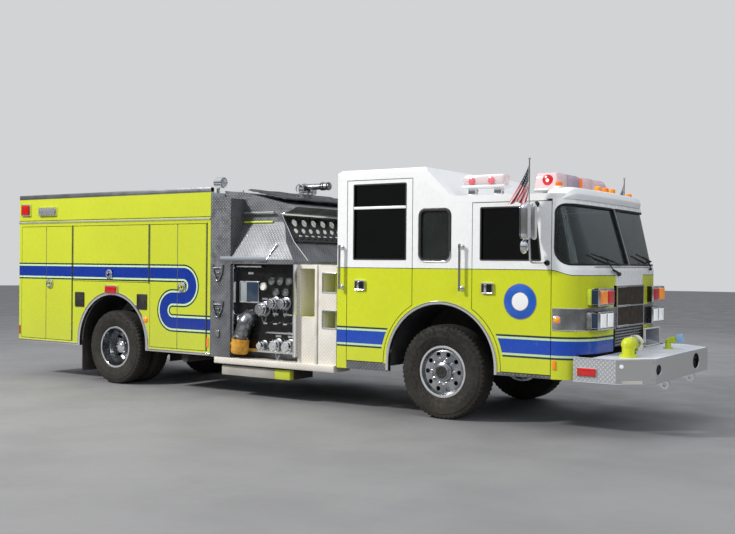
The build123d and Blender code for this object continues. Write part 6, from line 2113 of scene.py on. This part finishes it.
@dataclass
class Mirrors:
    """The door mirrors with their arms and heads, and the flag that hangs from each mirror's post."""

    x: float = 1.175
    y: float = 1.45
    foot: float = 1.80
    head: float = 2.41

    def build(self) -> None:
        """Replace the CAD mirrors by finished ones and hang the flags."""
        x, y = at(self.x), -self.y
        middle = Plane((at(1.185), y + 0.012, 2.22), (0, 1, 0), (0, 0, 1))
        case = slab(rectangle(0.165, 0.40, 0.07, (0, 0), 6), middle, -0.075, 0.0, 0.03, 4)
        second = slab(rectangle(0.085, 0.385, 0.04, (0.115, -0.003), 6), middle, -0.022, 0.020, 0.02, 4)
        arms = [tube(rounded([(at(foot), -HALF_WIDTH, z), (x, y + 0.06, z), (x, y + 0.02, (z + m) / 2)],
                             0.04, 5, closed=False), 0.0115, 10)
                for foot, z, m in ((1.30, self.foot - 0.015, self.head), (self.x, self.head, self.foot))]
        bowl = lathe([(-0.052, 0), (-0.050, 0.030), (-0.030, 0.062), (-0.006, 0.074), (0.0, 0.074)],
                     (at(1.124), y, 1.952), (-1, 0, 0), 32)
        pair("mirror_case", joined(case, second, *arms, bowl), CHROME, "front_door_{side}",
             ("mirror_{side}",), crease=40)
        feet = lathe([(0, 0.030), (0.006, 0.030), (0.016, 0.018), (0.05, 0.016)], (0, 0, 0), (0, -1, 0),
                     20).repeated([(at(1.30), -HALF_WIDTH, self.foot - 0.015), (x, -HALF_WIDTH, self.head)])
        pair("mirror_feet", feet, SEAL, "front_door_{side}")
        glass = slab(rectangle(0.145, 0.375, 0.06, (0, 0), 6),
                     Plane((at(1.109), y + 0.012, 2.22), (0, -1, 0), (0, 0, 1)), 0.0, 0.004, 0.001)
        wide = lathe([(0, 0.070), (0.004, 0.070), (0.012, 0.045), (0.016, 0)],
                     (at(1.123), y, 1.952), (-1, 0, 0), 32)
        pair("mirror_glass", joined(glass, wide), MIRROR, "front_door_{side}")
        self.flags(x, y + 0.02)

    def flags(self, x: float, y: float) -> None:
        """Hang a limp flag from each post.

        u runs from the post to the free end and v up the post. The cloth falls from the post to its free end,
        whose corner swings back, and its folds are a sine over v that deepens with u.
        """
        pole = joined(bar((x, y, 2.30), (x, y, 2.872), 0.0065, 10),
                      lathe([(0, 0.010), (0.010, 0.013), (0.020, 0.010), (0.026, 0)],
                            (x, y, 2.870), (0, 0, 1), 16))
        pair("flag_pole", pole, CHROME, "front_door_{side}")
        u, v = np.meshgrid(np.linspace(0, 1, 49), np.linspace(0, 1, 57), indexing="ij")
        post = 2.56 + 0.245 * v
        fall = u**0.85 * (post - 2.415 + 0.012 * np.sin(9 * v))
        back = 0.010 + 0.235 * v * u**1.1 + 0.03 * u * (1 - v)
        fold = 0.036 * u**0.6 * np.sin(TURN * 2.6 * v + 2.2 * u + 0.6)
        points = np.stack([x - back - 0.3 * fold * u, y + fold, post - fall], -1)
        for side in Side:
            cloth = make(f"flag_{side.word}", grid(points, uv=True).to_side(side), FLAG,
                         f"front_door_{side.word}", crease=180)
            thicken(cloth, 0.0012)


@dataclass
class Seats:
    """Cushions with crowned tops and sewn channels, and their backs, in the cab.

    Attributes:
        places: Rows of each seat's place along and across, on the right side.
        floors: Where each one's stand starts.
    """

    places: tuple = ((0.330, -0.76), (-1.290, -0.80), (-1.290, -0.27))
    floors: tuple = (1.30, 0.945, 0.945)

    def build(self) -> None:
        """Replace the CAD seats."""
        for number, (x, y) in enumerate(self.places):
            for side in Side:
                seat = self.pad((at(x) + 0.245, y, 1.49), (0.375, 0.45, 0.10), 2)
                back = self.pad((at(x), y, 1.855), (0.115, 0.45, 0.60), 0)
                for name, shape in (("cushion", seat), ("back", back)):
                    piece = make(f"seat_{name}_{number}_{side.word}", shape.to_side(side), SEAT, "cab",
                                 ("seats",) if (number, name, side) == (0, "cushion", Side.RIGHT)
                                 else (), crease=180)
        stands = joined(*(box((at(x) + 0.06, y - 0.15, low), (at(x) + 0.34, y + 0.15, 1.445), 0.02)
                          for (x, y), low in zip(self.places, self.floors)))
        pair("seat_stands", stands, PLASTIC, "cab")

    def pad(self, centre: tuple, size: tuple, thin: int) -> Shape:
        """Give a crowned closed pad.

        It is a superellipsoid: each point's two wide parts are signed powers of cosine and sine, so that its
        sides pull in between the corners, and the thin part has three channels sewn along it.
        """
        a, b = np.meshgrid(np.linspace(0, 1, 49)[:-1] * TURN,
                           np.linspace(-0.5, 0.5, 25) * np.pi, indexing="ij")

        def power(value: np.ndarray, exponent: float) -> np.ndarray:
            """Give the power with the value's own sign."""
            return np.sign(value) * np.abs(value) ** exponent

        wide = [power(np.cos(b), 0.32) * power(np.cos(a), 0.28),
                power(np.cos(b), 0.32) * power(np.sin(a), 0.28)]
        channel = 1 - 0.10 * np.exp(-((np.abs(np.mod(wide[1] * 2 + 0.5, 1) - 0.5)) / 0.05) ** 2)
        up = power(np.sin(b), 0.75) * channel
        parts = [up, *wide] if thin == 0 else [*wide, up]
        points = np.stack(parts, -1) * (np.array(size) / 2) + np.array(centre)
        return loft(points.transpose(1, 0, 2))


def dress_rest() -> None:
    """Give the CAD nodes that no sub-assembly dresses their finishes."""
    dress(FRAME_PAINT, "frame_rails", "front_axle", "rear_axle", "tie_rod", "knuckle_right", "knuckle_left")
    dress(CAST, "engine_block", "underbody")
    dress(PLASTIC, "dashboard")


def main() -> None:
    """Build the studio and every sub-assembly in order."""
    logging.basicConfig(level=logging.INFO, format="%(name)s: %(message)s")
    dress_rest()
    for section in (Studio(), Wheels(), CabShell(), Front(), RoofLights(), Mirrors(), Seats(), PumpModule(),
                    RearBody()):
        before = len(bpy.data.objects)
        section.build()
        LOG.info("%s: %d objects", type(section).__name__, len(bpy.data.objects) - before)


if __name__ == "__main__":
    main()
